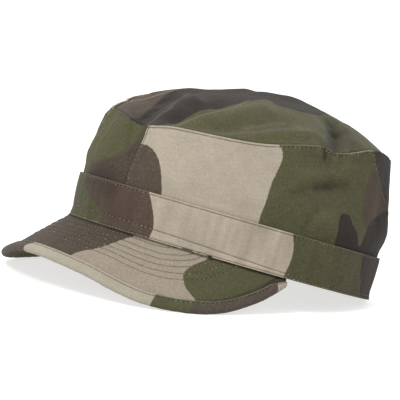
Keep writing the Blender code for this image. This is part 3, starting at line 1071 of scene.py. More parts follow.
def inside_by(spots, outline):
    """Distance in mm from each spot to an outline, positive inside, no further than FAR."""
    result = np.full(len(spots), -FAR)
    near = np.all((spots > outline.min(axis=0) - FAR) & (spots < outline.max(axis=0) + FAR), axis=1)
    here = spots[near]
    run = np.roll(outline, -1, axis=0) - outline
    offset = here[:, None] - outline[None]
    share = np.clip((offset * run).sum(-1) / np.maximum((run**2).sum(-1), 1e-12), 0.0, 1.0)
    away = np.linalg.norm(offset - share[..., None] * run, axis=-1).min(axis=1)
    end = outline + run
    spans = (outline[:, 1] > here[:, None, 1]) != (end[:, 1] > here[:, None, 1])
    rise = np.where(run[:, 1] == 0.0, 1e-12, run[:, 1])
    meets = outline[:, 0] + (here[:, None, 1] - outline[:, 1]) * run[:, 0] / rise
    within = (spans & (here[:, None, 0] < meets)).sum(axis=1) % 2 == 1
    result[near] = np.clip(np.where(within, away, -away), -FAR, FAR)
    return result


def keep(piece, name, values):
    """Store one number per point on the mesh for the material to read."""
    layer = piece.data.attributes.new(name, "FLOAT", "POINT")
    layer.data.foreach_set("value", np.ascontiguousarray(values, dtype=np.float32))


def patch_fields(patches, places, scale, period=0.0):
    """Distance of each place inside the green, brown and black patches."""
    spots = places * np.array(scale)
    fields = {colour: np.full(len(spots), -FAR) for colour in ("green", "brown", "black")}
    for colour, corners, *strength in patches:
        outline = round_off(np.array(corners) * np.array(scale))
        for shift in {0.0, period, -period}:
            field = inside_by(spots + np.array((shift * scale[0], 0.0)), outline)
            fields[colour] = np.maximum(fields[colour], np.minimum(field, strength[0] if strength else FAR))
    return fields


def print_cloth(piece, patches, places, scale, period=0.0, lining=None):
    """Store the fields on the mesh; a lining is printed with patches of its own."""
    fields = patch_fields(patches, places, scale, period)
    if lining:
        inside = laid[piece.name]["inside"] > 0.5
        other = patch_fields(lining, places, scale, period)
        fields = {colour: np.where(inside, other[colour], fields[colour]) for colour in fields}
    for colour, field in fields.items():
        keep(piece, colour, field)


# %% [markdown]
# The patches of the wall and the band are drawn in degrees round the head and millimetres
# above the lower edge, those of the top in shares of its half width and half length, and those
# of the peak in its own turn and share.

# %% Patches of the wall panels
SIDE_LEFT_PATCHES = (
    ("green", ((71, 110), (70.6, 84), (71.8, 76.5), (74.0, 73.4), (74.5, 68.5), (73.4, 62.5), (71.6, 55),
               (70.7, 47.6), (70, 36.8), (69.5, 27), (69.2, 12), (190, 12), (190, 110))),
    ("brown", ((6, 12), (6, 54), (12, 53.6), (16.3, 53.2), (20.5, 53.4), (24, 52), (27, 49), (29.3, 45),
               (31, 40), (32.1, 34), (32.8, 28), (33.1, 12))),
    ("brown", ((93, 95), (93.4, 84), (94, 77), (95.3, 71.5), (97, 69.3), (98.6, 73), (100, 80),
               (101, 95)), -0.12),
    ("brown", ((124, 90), (119.2, 80), (116, 75), (113.8, 69.4), (112.8, 62.5), (112.8, 53.7),
               (114.8, 45.5), (118, 41), (130, 46), (150, 56), (150, 90))),
    ("black", ((100.3, 12), (102.1, 27), (101.9, 33), (101.3, 39), (101.3, 44.4), (102.6, 46.8),
               (104.8, 47.5), (106.6, 47.2), (107.8, 45), (109, 41.8), (111.5, 38.6), (113.4, 35.8),
               (114.7, 32.2), (116, 30.2), (117.2, 31.8), (117.8, 36.4), (118.2, 41.3), (119.6, 46.3),
               (122.6, 49.4), (127, 51.7), (131, 55.6), (134, 56.6), (138, 54.9), (150, 55), (195, 56),
               (195, 12))),
)
FRONT_PATCHES = (
    ("green", ((-30, 0), (30, 0), (30, 90), (-30, 90))),
    ("brown", ((-16, 10), (-13.4, 27), (-11.2, 31.4), (-8.6, 34.2), (-3, 37), (3.2, 40.6), (7.4, 46),
               (12.4, 52), (17.5, 57), (26, 59), (26, 10))),
    # painted shade: a faint black over the brown of the lower front panel, laid as ink
    ("black", ((-14, 10), (-12, 26), (-7, 33), (3, 38), (12, 48), (26, 55), (26, 10)), -0.10),
)
BACK_PATCHES = (
    ("black", ((105, 5), (105, 115), (150, 115), (158, 88), (163, 72), (158, 56), (150, 42), (152, 28),
               (158, 5))),
    ("green", ((166, 5), (170, 30), (180, 45), (194, 52), (204, 70), (200, 115), (255, 115), (255, 5))),
    ("brown", ((194, 60), (205, 66), (214, 82), (216, 115), (250, 115), (250, 62), (232, 48), (216, 42),
               (202, 48))),
)
SIDE_RIGHT_PATCHES = (
    ("green", ((190, 5), (190, 60), (212, 71), (223, 66), (231, 52), (238, 36), (240, 5))),
    ("green", ((262, 115), (266, 90), (276, 78), (292, 74), (306, 80), (313, 115))),
    ("green", ((300, 5), (304, 30), (312, 50), (317, 74), (314, 115), (362, 115), (362, 5))),
    ("brown", ((190, 50), (204, 57), (213, 72), (216, 115), (185, 115))),
    ("brown", ((236, 5), (239, 24), (246, 36), (242, 50), (246, 62), (257, 70), (268, 67), (273, 56),
               (284, 49), (286, 38), (275, 31), (264, 27), (259, 16), (262, 5))),
    ("brown", ((309, 5), (313, 26), (322, 34), (333, 31), (338, 20), (340, 5))),
    ("black", ((283, 115), (280, 96), (270, 86), (266, 74), (273, 64), (284, 62), (290, 52), (299, 45),
               (305, 51), (301, 64), (305, 78), (300, 90), (306, 115))),
    ("black", ((222, 82), (233, 84), (246, 97), (242, 115), (212, 115))),
)

# %% Patches of the band, the top, the peak and its tape
BAND_PATCHES = (
    ("green", ((-60, 40), (-57, 20), (-62, -12), (22, -12), (22, 40))),
    ("green", ((82, 40), (82.4, 27), (84, 20), (84.3, 14), (83.8, 7), (82.4, -1), (82, -12), (165, -12),
               (170, 10), (160, 40))),
    ("green", ((204, 40), (209, 14), (202, -12), (248, -12), (241, 10), (250, 40))),
    ("brown", ((-11.6, 40), (-10.8, 27), (-8.6, 21.5), (-4.4, 16), (2.4, 11.2), (6.8, 8.2), (8.6, 4),
               (9, -12), (30.5, -12), (32.4, 1), (33, 7.5), (32.4, 13), (31, 18.6), (29.2, 24),
               (27.6, 28.5), (25.5, 40))),
    ("brown", ((109, -12), (110, 2), (113, 8), (117, 13), (121, 12), (125, 4), (126.6, -12)), -0.08),
    ("brown", ((166, 40), (161, 12), (168, -12), (206, -12), (213, 12), (204, 40))),
    ("brown", ((284, 40), (292, 14), (284, -12), (305, -12), (309, 12), (301, 40))),
    ("black", ((118.4, 40), (118.8, 30), (119.2, 22), (120.6, 16), (123, 9.6), (125.4, 3.6), (126.8, -3),
               (128, -12), (173, -12), (167, 10), (177, 40))),
    ("black", ((268, 40), (263, 16), (272, -12), (290, -12), (297, 10), (288, 24), (293, 40))),
)
TOP_PATCHES = (
    ("green", ((0.2, -1.3), (1.3, -1.3), (1.3, 1.3), (0.3, 1.3), (-0.1, 0.9), (-0.35, 0.62), (-0.5, 0.4),
               (-0.4, 0.1), (-0.3, -0.4), (0.0, -0.8))),
    ("green", ((-1.3, -0.35), (-0.85, -0.2), (-0.68, 0.0), (-0.8, 0.2), (-1.3, 0.3))),
    ("brown", ((0.3, -1.3), (0.16, -0.9), (0.0, -0.7), (-0.3, -0.5), (-0.5, -0.3), (-0.62, -0.25),
               (-0.8, -0.3), (-1.3, -0.4), (-1.3, -1.3))),
    ("brown", ((0.34, 0.36), (0.56, 0.27), (0.82, 0.18), (1.2, 0.08), (1.2, 0.30), (0.86, 0.32),
               (0.60, 0.40), (0.42, 0.48)), -0.10),
    ("brown", ((0.60, -0.47), (0.58, -0.27), (0.57, -0.12), (0.68, -0.08), (0.84, -0.10), (0.80, -0.30),
               (0.74, -0.45)), -0.12),
    ("brown", ((-0.38, 0.75), (-0.1, 0.7), (0.15, 0.8), (0.36, 0.95), (0.3, 1.3), (-0.45, 1.3))),
    ("black", ((0.46, -1.3), (0.42, -0.95), (0.34, -0.81), (0.247, -0.683), (0.17, -0.58), (0.128, -0.49),
               (0.135, -0.42), (0.152, -0.36), (0.172, -0.27), (0.15, -0.18), (0.085, -0.08),
               (0.075, -0.02), (0.15, -0.01), (0.24, -0.04), (0.29, 0.0), (0.32, 0.06), (0.385, 0.12),
               (0.385, 0.19), (0.36, 0.25), (0.29, 0.37), (0.1, 0.5), (-0.2, 0.55), (-0.45, 0.45),
               (-0.56, 0.2), (-0.56, -0.1), (-0.53, -0.38), (-0.47, -0.54), (-0.34, -0.66),
               (-0.14, -0.80), (0.02, -0.92), (0.06, -1.3))),
)
PEAK_PATCHES = (
    ("green", ((0.665, -0.3), (0.655, -0.02), (0.645, 0.07), (0.62, 0.15), (0.592, 0.25), (0.578, 0.35),
               (0.576, 0.43), (0.582, 0.5), (0.595, 0.62), (0.618, 0.72), (0.648, 0.84), (0.69, 1.3),
               (1.3, 1.3), (1.3, -0.3))),
    ("green", ((-0.40, -0.3), (-0.37, 0.1), (-0.40, 0.4), (-0.44, 0.7), (-0.46, 1.3), (-0.80, 1.3),
               (-0.76, 0.7), (-0.70, 0.35), (-0.68, -0.3))),
    ("brown", ((0.345, -0.3), (0.321, 0.0), (0.288, 0.116), (0.264, 0.26), (0.243, 0.39), (0.216, 0.54),
               (0.187, 0.65), (0.178, 0.74), (0.174, 0.84), (0.17, 1.3), (-0.48, 1.3), (-0.46, 0.8),
               (-0.42, 0.45), (-0.38, 0.1), (-0.40, -0.3))),
    ("brown", ((0.80, 1.3), (0.815, 0.95), (0.85, 0.82), (0.88, 0.68), (0.905, 0.48), (0.925, 0.28),
               (0.955, 0.1), (1.1, -0.1), (1.3, 0.0), (1.3, 1.3))),
    ("brown", ((-0.74, -0.3), (-0.70, 0.3), (-0.78, 0.7), (-0.82, 1.3), (-1.3, 1.3), (-1.3, -0.3))),
    ("black", ((-0.34, -0.3), (-0.36, 0.2), (-0.46, 0.42), (-0.58, 0.36), (-0.62, -0.3))),
)
UNDERSIDE_PATCHES = (
    ("green", ((0.3, -0.3), (0.26, 0.3), (0.4, 0.6), (0.55, 1.3), (1.3, 1.3), (1.3, -0.3))),
    ("brown", ((-0.15, -0.3), (-0.2, 0.3), (-0.02, 0.62), (0.2, 0.5), (0.22, 0.1), (0.18, -0.3))),
    ("brown", ((0.62, -0.3), (0.56, 0.4), (0.72, 0.8), (0.9, 1.3), (1.3, 1.3), (1.3, -0.3))),
    ("black", ((-0.95, 0.2), (-0.8, 0.5), (-0.66, 0.9), (-0.6, 1.3), (-1.3, 1.3), (-1.3, 0.2))),
)
TAPE_PATCHES = (
    ("brown", ((-0.42, -1.0), (-0.4, 2.0), (-0.014, 2.0), (-0.008, 1.0), (-0.016, 0.6), (-0.01, -1.0))),
    ("green", ((-0.75, -1.0), (-0.72, 2.0), (-0.38, 2.0), (-0.40, -1.0))),
    ("green", ((0.505, -1.0), (0.507, 0.5), (0.514, 1.0), (0.52, 2.0), (0.66, 2.0), (0.66, -1.0))),
    ("brown", ((0.632, -1.0), (0.634, 0.5), (0.645, 1.0), (0.66, 2.0), (0.96, 2.0), (0.955, 1.0),
               (0.962, 0.5), (0.96, -1.0))),
    ("black", ((-1.2, -1.0), (-1.2, 2.0), (-0.88, 2.0), (-0.86, -1.0))),
)

# %% Print every piece
# millimetres for one step of a patch's coordinates, across and along
PLAN = (1000 * TOP_HALF_WIDTH, 1000 * TOP_HALF_LENGTH)
AROUND = (MM_PER_DEGREE, 1.0)
PEAK_PLAN = (150.0, 44.0)
TAPE_PLAN = (165.0, 20.0)


def wall_places(name):
    return np.stack([np.degrees(laid[name]["angle"]), 1000 * laid[name]["height"]], axis=-1)


for piece, patches in (
    (side_left, SIDE_LEFT_PATCHES), (side_right, SIDE_RIGHT_PATCHES),
    (front, FRONT_PATCHES), (back, BACK_PATCHES),
):
    print_cloth(piece, patches, wall_places(piece.name), AROUND)
print_cloth(band, BAND_PATCHES, wall_places(band.name), AROUND, period=360.0)
plan_x, plan_y = laid[top.name]["level"][:, 0], laid[top.name]["level"][:, 1]
top_places = np.stack([plan_x / TOP_HALF_WIDTH, (plan_y - TOP_SHIFT) / TOP_HALF_LENGTH], axis=-1)
print_cloth(top, TOP_PATCHES, top_places, PLAN)
peak_places = np.stack([peak_cut["turn"], peak_cut["share"]], axis=-1)
print_cloth(peak, PEAK_PATCHES, peak_places, PEAK_PLAN, lining=UNDERSIDE_PATCHES)
tape_places = np.stack([tape_cut["turn"], tape_cut["v"]], axis=-1)
print_cloth(tape, TAPE_PATCHES, tape_places, TAPE_PLAN)
print("printed", len(laid), "pieces")

# %% [markdown]
# ## Lying flat, wear, painted shade and the wrong side
#
# The weave has to follow the cloth, so each piece gets a UV map that holds its flat cut in
# metres. A few more numbers per point help the finish: how much an edge has been rubbed, with a
# painted highlight along the top's crests and its far fold; how much painted shade lies in
# folds, along seams, under the band's lower edge and beside the tape, with painted light where
# it falls below zero; and which points are on the wrong side, where the print shows through
# pale. The last one says how far the nearest row of stitches is, and the cloth is painted
# darker along each row as the shade of its groove. The signed distances to all rows are clipped
# and multiplied, so one number crosses zero at every row, and the fine line stays sharp between
# the points of the mesh.

# %% Flat cuts as UV maps
MEAN_RADIUS = 0.0955
PEAK_MEAN_LENGTH = 0.150
PEAK_FLAT_DEPTH = 0.045
TAPE_LENGTH = 0.165
TAPE_FLAT_WIDTH = 0.020
BIAS = 0.7071


def lay_flat(piece, across, along, period=0.0):
    """A UV map in metres; faces that cross a closing seam are unrolled past it."""
    mesh = piece.data
    corner = np.empty(len(mesh.loops), dtype=np.int32)
    mesh.loops.foreach_get("vertex_index", corner)
    spot = np.stack([across[corner], along[corner]], axis=-1)
    if period:
        start = np.empty(len(mesh.polygons), dtype=np.int32)
        total = np.empty(len(mesh.polygons), dtype=np.int32)
        mesh.polygons.foreach_get("loop_start", start)
        mesh.polygons.foreach_get("loop_total", total)
        highest = np.repeat(np.maximum.reduceat(spot[:, 0], start), total)
        spot[:, 0] += period * (highest - spot[:, 0] > period / 2)
    layer = mesh.uv_layers.new(name="flat_cut")
    layer.data.foreach_set("uv", spot.astype(np.float32).ravel())


for piece in (side_left, side_right, front, back):
    lay_flat(piece, laid[piece.name]["angle"] * MEAN_RADIUS, laid[piece.name]["height"])
lay_flat(band, band_cut["angle"] * MEAN_RADIUS, band_cut["height"], TURN * MEAN_RADIUS)
lay_flat(top, plan_x, plan_y)
lay_flat(peak, peak_cut["turn"] * PEAK_MEAN_LENGTH, peak_cut["share"] * PEAK_FLAT_DEPTH)
along_strip, across_strip = tape_cut["turn"] * TAPE_LENGTH, tape_cut["v"] * TAPE_FLAT_WIDTH
lay_flat(tape, (along_strip + across_strip) * BIAS, (along_strip - across_strip) * BIAS)
print("flat cuts laid")

# %% Tables and measures of wear and painted shade
# Shares of wear run from 0, as new, to about 1, and so do those of painted highlight; shares of
# painted shade run from 0 to about 1 in a fold, and below zero they paint light.
RUB_WIDTH = 0.0005
TOP_SEAM_WEAR = 0.6
BACK_SEAM_WEAR = 2.2
CREASE_SHADE_DEPTH = 0.0013
# columns: angle in degrees and height in millimetres at both ends, half width in millimetres,
# strength of the painted shade; below zero is painted light
WALL_SHADES = (
    (15.5, 64.0, 12.5, 46.0, 3.6, 1.0),
    (8.0, 31.0, -10.0, 30.0, 4.5, 0.7),
    (-4.0, 25.0, 11.0, 22.0, 7.0, 0.9),
    (92.0, 84.0, 92.4, 77.0, 1.6, 1.2),
    (96.0, 81.5, 104.0, 82.5, 1.2, 0.7),
    (136.0, 78.0, 136.0, 50.0, 12.0, 1.4),
    (141.0, 24.0, 141.0, 4.0, 10.0, 0.9),
)
# columns: both ends as shares of the top's half width and half length, half width in
# millimetres, strength of the painted shade; below zero is painted light
TOP_SHADES = (
    (0.11, -0.94, -0.08, -0.79, 4.0, 1.3),
    (-0.08, -0.79, -0.43, -0.50, 5.0, 1.1),
    (0.14, -0.66, -0.05, -0.51, 4.0, -0.9),
    (-0.05, -0.51, -0.29, -0.34, 5.0, -1.0),
    (0.37, 0.39, 0.60, 0.28, 4.6, 1.7),
    (0.60, 0.28, 0.97, 0.11, 5.6, 2.1),
    (0.56, 0.42, 0.88, 0.32, 7.0, 1.0),
    (0.02, -0.96, -0.35, -0.78, 7.0, 0.7),
)


def rub(away, width=RUB_WIDTH):
    """One on a line, fading out beside it."""
    return np.exp(-((away / width) ** 2))


def row_field(*distances):
    """Zero on every row of stitches, one a millimetre away from them."""
    field = 1.0
    for distance in distances:
        field = field * np.clip(1000 * distance, -1.0, 1.0)
    return field


def wall_shade(angle, height):
    """Painted shade on the wall and the band along the listed lines; below zero it paints light."""
    spot = np.stack([half_turned(angle) * MM_PER_DEGREE, 1000 * height], axis=-1)
    painted_shade = 0.0 * angle
    for first_angle, first_height, last_angle, last_height, width, strength in WALL_SHADES:
        start = np.array((first_angle * MM_PER_DEGREE, first_height))
        run = np.array((last_angle * MM_PER_DEGREE, last_height)) - start
        painted_shade = painted_shade + strength * np.exp(-(from_line(spot, start, run) / width) ** 2)
    return painted_shade


# %% Wear and painted shade of the wall panels
for piece in (side_left, side_right, front, back):
    cut = laid[piece.name]
    angle, height = cut["angle"], cut["height"]
    below = seam_height(angle) - height
    first_angle = cut["places"](np.zeros_like(angle), cut["v"])[0]
    last_angle = cut["places"](np.ones_like(angle), cut["v"])[0]
    full = last_angle - first_angle
    from_first, from_last = cut["u"] * full * RIM_HALF_WIDTH, (1 - cut["u"]) * full * RIM_HALF_WIDTH
    from_side = np.minimum(from_first, from_last)
    # painted shade in the crease hollows and along the listed lines, painted light on crease ridges
    folded = np.clip(crease_depth(angle, height) / CREASE_SHADE_DEPTH, -0.5, 1.0) * (height > BAND_HEIGHT)
    shade = folded + wall_shade(angle, height)
    if piece in (side_left, side_right):
        back_edge = from_last if piece is side_left else from_first
        seams = np.maximum(rub(from_side), BACK_SEAM_WEAR * rub(back_edge))
        keep(piece, "wear_and_highlight", np.maximum(seams, TOP_SEAM_WEAR * rub(below)))
        keep(piece, "row", row_field(*(away - STITCH_INSET for away in (below, from_first, from_last))))
    else:
        # painted shade along the top seam and the side seams of the panels that lie under the laps
        shade = shade + 1.0 * rub(below, 0.0006) + 0.9 * rub(from_side, 0.0008)
    keep(piece, "shade", shade)

# %% Wear and painted shade of the band
FOOT_WEAR = 1.3
CREASE_SHADE = 1600.0

around_band, from_foot = band_cut["angle"], band_cut["height"]
# painted shade in the hollows of the upright creases and along the listed lines, painted light on their
# crests
creased = np.clip(CREASE_SHADE * band_creases(around_band, from_foot), -0.5, 0.5)
keep(band, "wear_and_highlight", np.maximum(rub(BAND_HEIGHT - from_foot), FOOT_WEAR * rub(from_foot)))
keep(band, "shade", wall_shade(around_band, from_foot) - creased)
keep(band, "row", row_field(
    from_foot - BAND_FOOT_ROW, from_foot - middle_row(around_band), from_foot - BAND_HEIGHT + BAND_TOP_ROW,
))

# %% Wear, painted highlight and painted shade of the top
NARROW_CREST = 1.5
CREST_RUB_AND_HIGHLIGHT_SPREAD = 0.0013
FAR_FOLD_HIGHLIGHT_SPREAD = 0.0010
FOLD_SHADE = 0.30
HEM_SHADE = 1.4
HEM_SHADE_WIDTH = 0.0011

# narrow crests and the far fold are lightened: a painted highlight, with some rub on the crests
crests = tuple(row for row in TOP_CRESTS if row[5] > 0 and row[4] < NARROW_CREST)
lightened = np.clip(fold_rise(plan_x, plan_y, crests, CREST_RUB_AND_HIGHLIGHT_SPREAD, 0.5), 0.0, 0.6)
keep(top, "wear_and_highlight", lightened + fold_rise(plan_x, plan_y, FAR_FOLD, FAR_FOLD_HIGHLIGHT_SPREAD, 0.8))
# painted shade in the fold hollows, along the listed rows and at the seam by the hem; painted light on fold
# ridges and on rows below zero
sunk = -fold_rise(plan_x, plan_y, TOP_FOLDS, 0.8 * FOLD_SPREAD, FOLD_SHADE)
from_hem = laid[top.name]["v"] * (TOP_TURN + TOP_RADIUS) - TOP_TURN
painted_shade = np.clip(sunk, -0.5, 0.8) + fold_rise(plan_x, plan_y, TOP_SHADES, 0.001, 1.0)
keep(top, "shade", np.clip(painted_shade, -1.0, 2.4) + HEM_SHADE * rub(from_hem, HEM_SHADE_WIDTH))

# %% Wear and painted shade of the peak and its tape
BAND_LIP = 0.0009
COVERED_SHADE = 2.8
COVERED_WIDTH = 0.00055
TAPE_SHADE = 1.2
TAPE_RUB_WIDTH = 0.0007
TAPE_WEAR = 1.5

rim_away = from_peak_rim(peak_point(peak_cut["turn"], peak_cut["share"]))
from_root = peak_width(peak_cut["turn"], peak_cut["share"])
# painted shadow under the band's lower edge and beside the tape's lip
covered = COVERED_SHADE * rub(np.maximum(from_root - BAND_LIP, 0.0), COVERED_WIDTH)
beside_tape = TAPE_SHADE * rub(rim_away - BINDING_WIDTH, TAPE_RUB_WIDTH)
keep(peak, "shade", (1 - peak_cut["inside"]) * (covered + beside_tape))
keep(peak, "row", row_field(*past_rows(peak_cut["turn"], rim_away)))
keep(tape, "wear_and_highlight", TAPE_WEAR * rub(from_leg_edge(tape_cut["v"]), TAPE_RUB_WIDTH))
keep(tape, "row", row_field(from_leg_edge(tape_cut["v"]) - TAPE_ROW))

# %% The wrong side, and plain values where nothing was stored
for piece in (top, front, side_left, side_right, back, band, peak, tape):
    for name, plain in (("wear_and_highlight", 0.0), ("shade", 0.0), ("row", 1.0)):
        if name not in piece.data.attributes:
            keep(piece, name, np.full(len(piece.data.vertices), plain))
    one_layer = piece in (top, front, side_left, side_right, back)
    keep(piece, "reverse", laid[piece.name]["inside"] * float(one_layer))
print("wear, shade, rows and reverse stored")

# %% [markdown]
# ## Printed cotton
#
# The cloth is a plain weave of dull cotton. Three inks lie on a tan ground, and the edge of
# each ink wobbles by a fraction of a millimetre, as ink creeps along threads. Over that lie
# slubs, which are thick places in the yarn, a soft mottle from washing, painted shade in folds,
# seams and along the rows of stitches, painted light on fold ridges, and paler rubbed edges
# with a painted highlight on the top's crests. The surface is rough, with a faint sheen from
# loose fibres. The weave itself is a bump made from two sine waves, one for each set of threads.

# %% Make the cotton
THREAD_PITCH = 0.00052
INK_EDGE = 0.22
INK_CREEP = 0.9
INK_SPECKS = 0.07
ROW_WIDTH = 0.30
# how much painted shade darkens the cloth along a row of stitches and where the stored shade is one
ROW_SHADE_DARKNESS = 0.56
PAINTED_SHADE_DARKNESS = 0.26
FLECK = 0.34
PEAK_FLECK = 0.70
SPECULAR = 0.12
SHEEN_ROUGHNESS = 0.45
GRAIN_SCALE = 760.0
CREEP_SCALE = 520.0
WASHED_SCALE = 75.0
# threads run across and along the flat cut: noise drawn out along each
WEFT_STRETCH = (170.0, 1300.0, 1.0)
WARP_STRETCH = (1300.0, 190.0, 1.0)
REVERSE_TINT = (168, 160, 138)
# the colour of rubbed edges, also used for the painted highlight on the top's crests
RUBBED_AND_HIGHLIGHT_TINT = (196, 186, 160)


def to_linear(colour):
    """Display values from 0 to 255 as scene linear colour."""
    share = np.array(colour) / 255.0
    return tuple(np.where(share <= 0.04045, share / 12.92, ((share + 0.055) / 1.055) ** 2.4).tolist())


class Finish:
    """A material and short ways to add its nodes."""

    def __init__(self, name, roughness, sheen):
        self.material = bpy.data.materials.new(name)
        self.material.use_nodes = True
        self.nodes = self.material.node_tree.nodes
        self.links = self.material.node_tree.links
        self.shader = self.nodes["Principled BSDF"]
        self.shader.inputs["Roughness"].default_value = roughness
        self.shader.inputs["Specular IOR Level"].default_value = SPECULAR
        self.shader.inputs["Sheen Weight"].default_value = sheen
        self.shader.inputs["Sheen Roughness"].default_value = SHEEN_ROUGHNESS

    def feed(self, socket, value):
        if isinstance(value, bpy.types.NodeSocket):
            self.links.new(value, socket)
        else:
            socket.default_value = value

    def sum_of(self, operation, *values):
        """The result of one Math node."""
        node = self.nodes.new("ShaderNodeMath")
        node.operation = operation
        for socket, value in zip(node.inputs, values):
            self.feed(socket, value)
        return node.outputs[0]

    def stored(self, name):
        """A number that was kept on the mesh."""
        node = self.nodes.new("ShaderNodeAttribute")
        node.attribute_name = name
        return node.outputs["Fac"]

    def ranged(self, value, low, high, to_low=0.0, to_high=1.0):
        """A value between two limits, moved to lie between two others."""
        node = self.nodes.new("ShaderNodeMapRange")
        limits = {"Value": value, "From Min": low, "From Max": high, "To Min": to_low, "To Max": to_high}
        for name, limit in limits.items():
            self.feed(node.inputs[name], limit)
        return node.outputs["Result"]

    def noise(self, vector, scale, detail=2.0, stretch=(1.0, 1.0, 1.0)):
        mapping = self.nodes.new("ShaderNodeMapping")
        mapping.inputs["Scale"].default_value = stretch
        self.links.new(vector, mapping.inputs["Vector"])
        node = self.nodes.new("ShaderNodeTexNoise")
        node.inputs["Scale"].default_value = scale
        node.inputs["Detail"].default_value = detail
        self.links.new(mapping.outputs["Vector"], node.inputs["Vector"])
        return node.outputs["Fac"]

    def blend(self, share, under, over, mode="MIX"):
        node = self.nodes.new("ShaderNodeMix")
        node.data_type = "RGBA"
        node.blend_type = mode
        self.feed(node.inputs[0], share)
        for socket, colour in ((node.inputs[6], under), (node.inputs[7], over)):
            self.feed(socket, colour if isinstance(colour, bpy.types.NodeSocket) else (*colour, 1.0))
        return node.outputs[2]

    def grey(self, value):
        node = self.nodes.new("ShaderNodeCombineColor")
        for socket in node.inputs:
            self.feed(socket, value)
        return node.outputs[0]

    def colour_and_bump(self, colour, height, strength, distance):
        """Give the shader its colour and a bump."""
        node = self.nodes.new("ShaderNodeBump")
        node.inputs["Strength"].default_value = strength
        node.inputs["Distance"].default_value = distance
        self.links.new(height, node.inputs["Height"])
        self.links.new(node.outputs["Normal"], self.shader.inputs["Normal"])
        self.links.new(colour, self.shader.inputs["Base Color"])


def make_cotton(name, tan, *inks, fleck=FLECK):
    """Cotton in a tan ground colour with green, brown and black inks, as display values."""
    cloth = Finish(name, roughness=0.92, sheen=0.07)
    flat_cut = cloth.nodes.new("ShaderNodeUVMap")
    flat_cut.uv_map = "flat_cut"
    flat = flat_cut.outputs["UV"]

    # yarn, and the specks that the ink has missed
    grain = cloth.noise(flat, GRAIN_SCALE)
    weft, warp = (cloth.noise(flat, 1.0, stretch=stretch) for stretch in (WEFT_STRETCH, WARP_STRETCH))
    yarn = cloth.sum_of("ADD", weft, warp)
    specks = cloth.ranged(cloth.sum_of("ADD", grain, yarn), 1.40, 1.90, 1.0, 1.0 - INK_SPECKS)

    # ground and inks
    creep = cloth.sum_of("SUBTRACT", cloth.noise(flat, CREEP_SCALE), 0.5)
    creep = cloth.sum_of("MULTIPLY", creep, INK_CREEP)
    colour = to_linear(tan)
    for layer, ink in zip(("green", "brown", "black"), inks):
        share = cloth.ranged(cloth.sum_of("ADD", cloth.stored(layer), creep), -INK_EDGE, INK_EDGE)
        colour = cloth.blend(cloth.sum_of("MULTIPLY", share, specks), colour, to_linear(ink))

    # mottle, then painted shade along the rows of stitches and in folds and seams, painted light on ridges
    mottle = 0.64 - fleck / 2
    washed = cloth.noise(flat, WASHED_SCALE, detail=3.0)
    for layer, strength in ((washed, 0.20), (grain, fleck), (weft, 0.28), (warp, 0.24)):
        mottle = cloth.sum_of("MULTIPLY_ADD", layer, strength, mottle)
    row = cloth.sum_of("MULTIPLY", cloth.stored("row"), 1.0 / ROW_WIDTH)
    row = cloth.sum_of("MULTIPLY", cloth.sum_of("MULTIPLY", row, row), -1.0)
    stitched = cloth.sum_of("EXPONENT", row)
    # each row is painted darker as the shade of its groove; the stored shade paints shade, and light below
    # zero
    for layer, darkness in ((stitched, ROW_SHADE_DARKNESS), (cloth.stored("shade"), PAINTED_SHADE_DARKNESS)):
        darker = cloth.sum_of("MULTIPLY_ADD", layer, -darkness, 1.0)
        mottle = cloth.sum_of("MULTIPLY", mottle, darker)
    colour = cloth.blend(1.0, colour, cloth.grey(mottle), "MULTIPLY")

    # the pale wrong side, and the rubbed places, which on the top's crests and far fold are also a painted
    # highlight
    pale = cloth.blend(0.62, colour, to_linear(REVERSE_TINT))
    colour = cloth.blend(cloth.stored("reverse"), colour, pale)
    rub_and_highlight = cloth.sum_of("MULTIPLY", cloth.stored("wear_and_highlight"), cloth.sum_of("MULTIPLY", grain, 0.50))
    colour = cloth.blend(rub_and_highlight, colour, cloth.blend(0.5, colour, to_linear(RUBBED_AND_HIGHLIGHT_TINT)))

    # the weave
    split = cloth.nodes.new("ShaderNodeSeparateXYZ")
    cloth.links.new(flat, split.inputs[0])
    steps = [cloth.sum_of("MULTIPLY", split.outputs[axis], TURN / THREAD_PITCH) for axis in (0, 1)]
    weave = cloth.sum_of("MULTIPLY", *(cloth.sum_of("SINE", step) for step in steps))
    relief = yarn
    for layer, strength in ((weave, 0.30), (grain, 0.6), (stitched, -1.2)):
        relief = cloth.sum_of("MULTIPLY_ADD", layer, strength, relief)
    cloth.colour_and_bump(colour, relief, 0.55, 0.00022)
    return cloth.material


crown_cotton = make_cotton("crown_cotton", (151, 141, 127), (71, 70, 48), (71, 61, 52), (45, 40, 36))
band_cotton = make_cotton("band_cotton", (151, 140, 126), (69, 68, 47), (71, 59, 51), (51, 46, 42))
peak_cotton = make_cotton(
    "peak_cotton", (137, 127, 113), (72, 71, 49), (66, 57, 49), (43, 39, 37), fleck=PEAK_FLECK,
)
tape_cotton = make_cotton("tape_cotton", (148, 141, 127), (71, 70, 48), (72, 64, 57), (43, 39, 37))
print("cotton nodes:", len(crown_cotton.node_tree.nodes))

# %% [markdown]
# ## Stitches
#
# The thread is thicker than the yarn of the cloth and shows as short dashes. Each stitch is a
# small spindle that lies along its row, half sunk in the groove that was left for it. A row is
# a line on the finished surface, walked off in equal steps.

# %% Sew a row of stitches
STITCH_PITCH = 0.0030
STITCH_LENGTH = 0.0024
THREAD_RADIUS = 0.00023
THREAD_SIDES = 6
THREAD_RINGS = 4
DIRECTION_REACH = 0.0008
WOBBLE_SIZE = 0.0021
WOBBLE_LENGTH = 0.2
WOBBLE_TURN = 0.12
RUN_LENGTH = 24


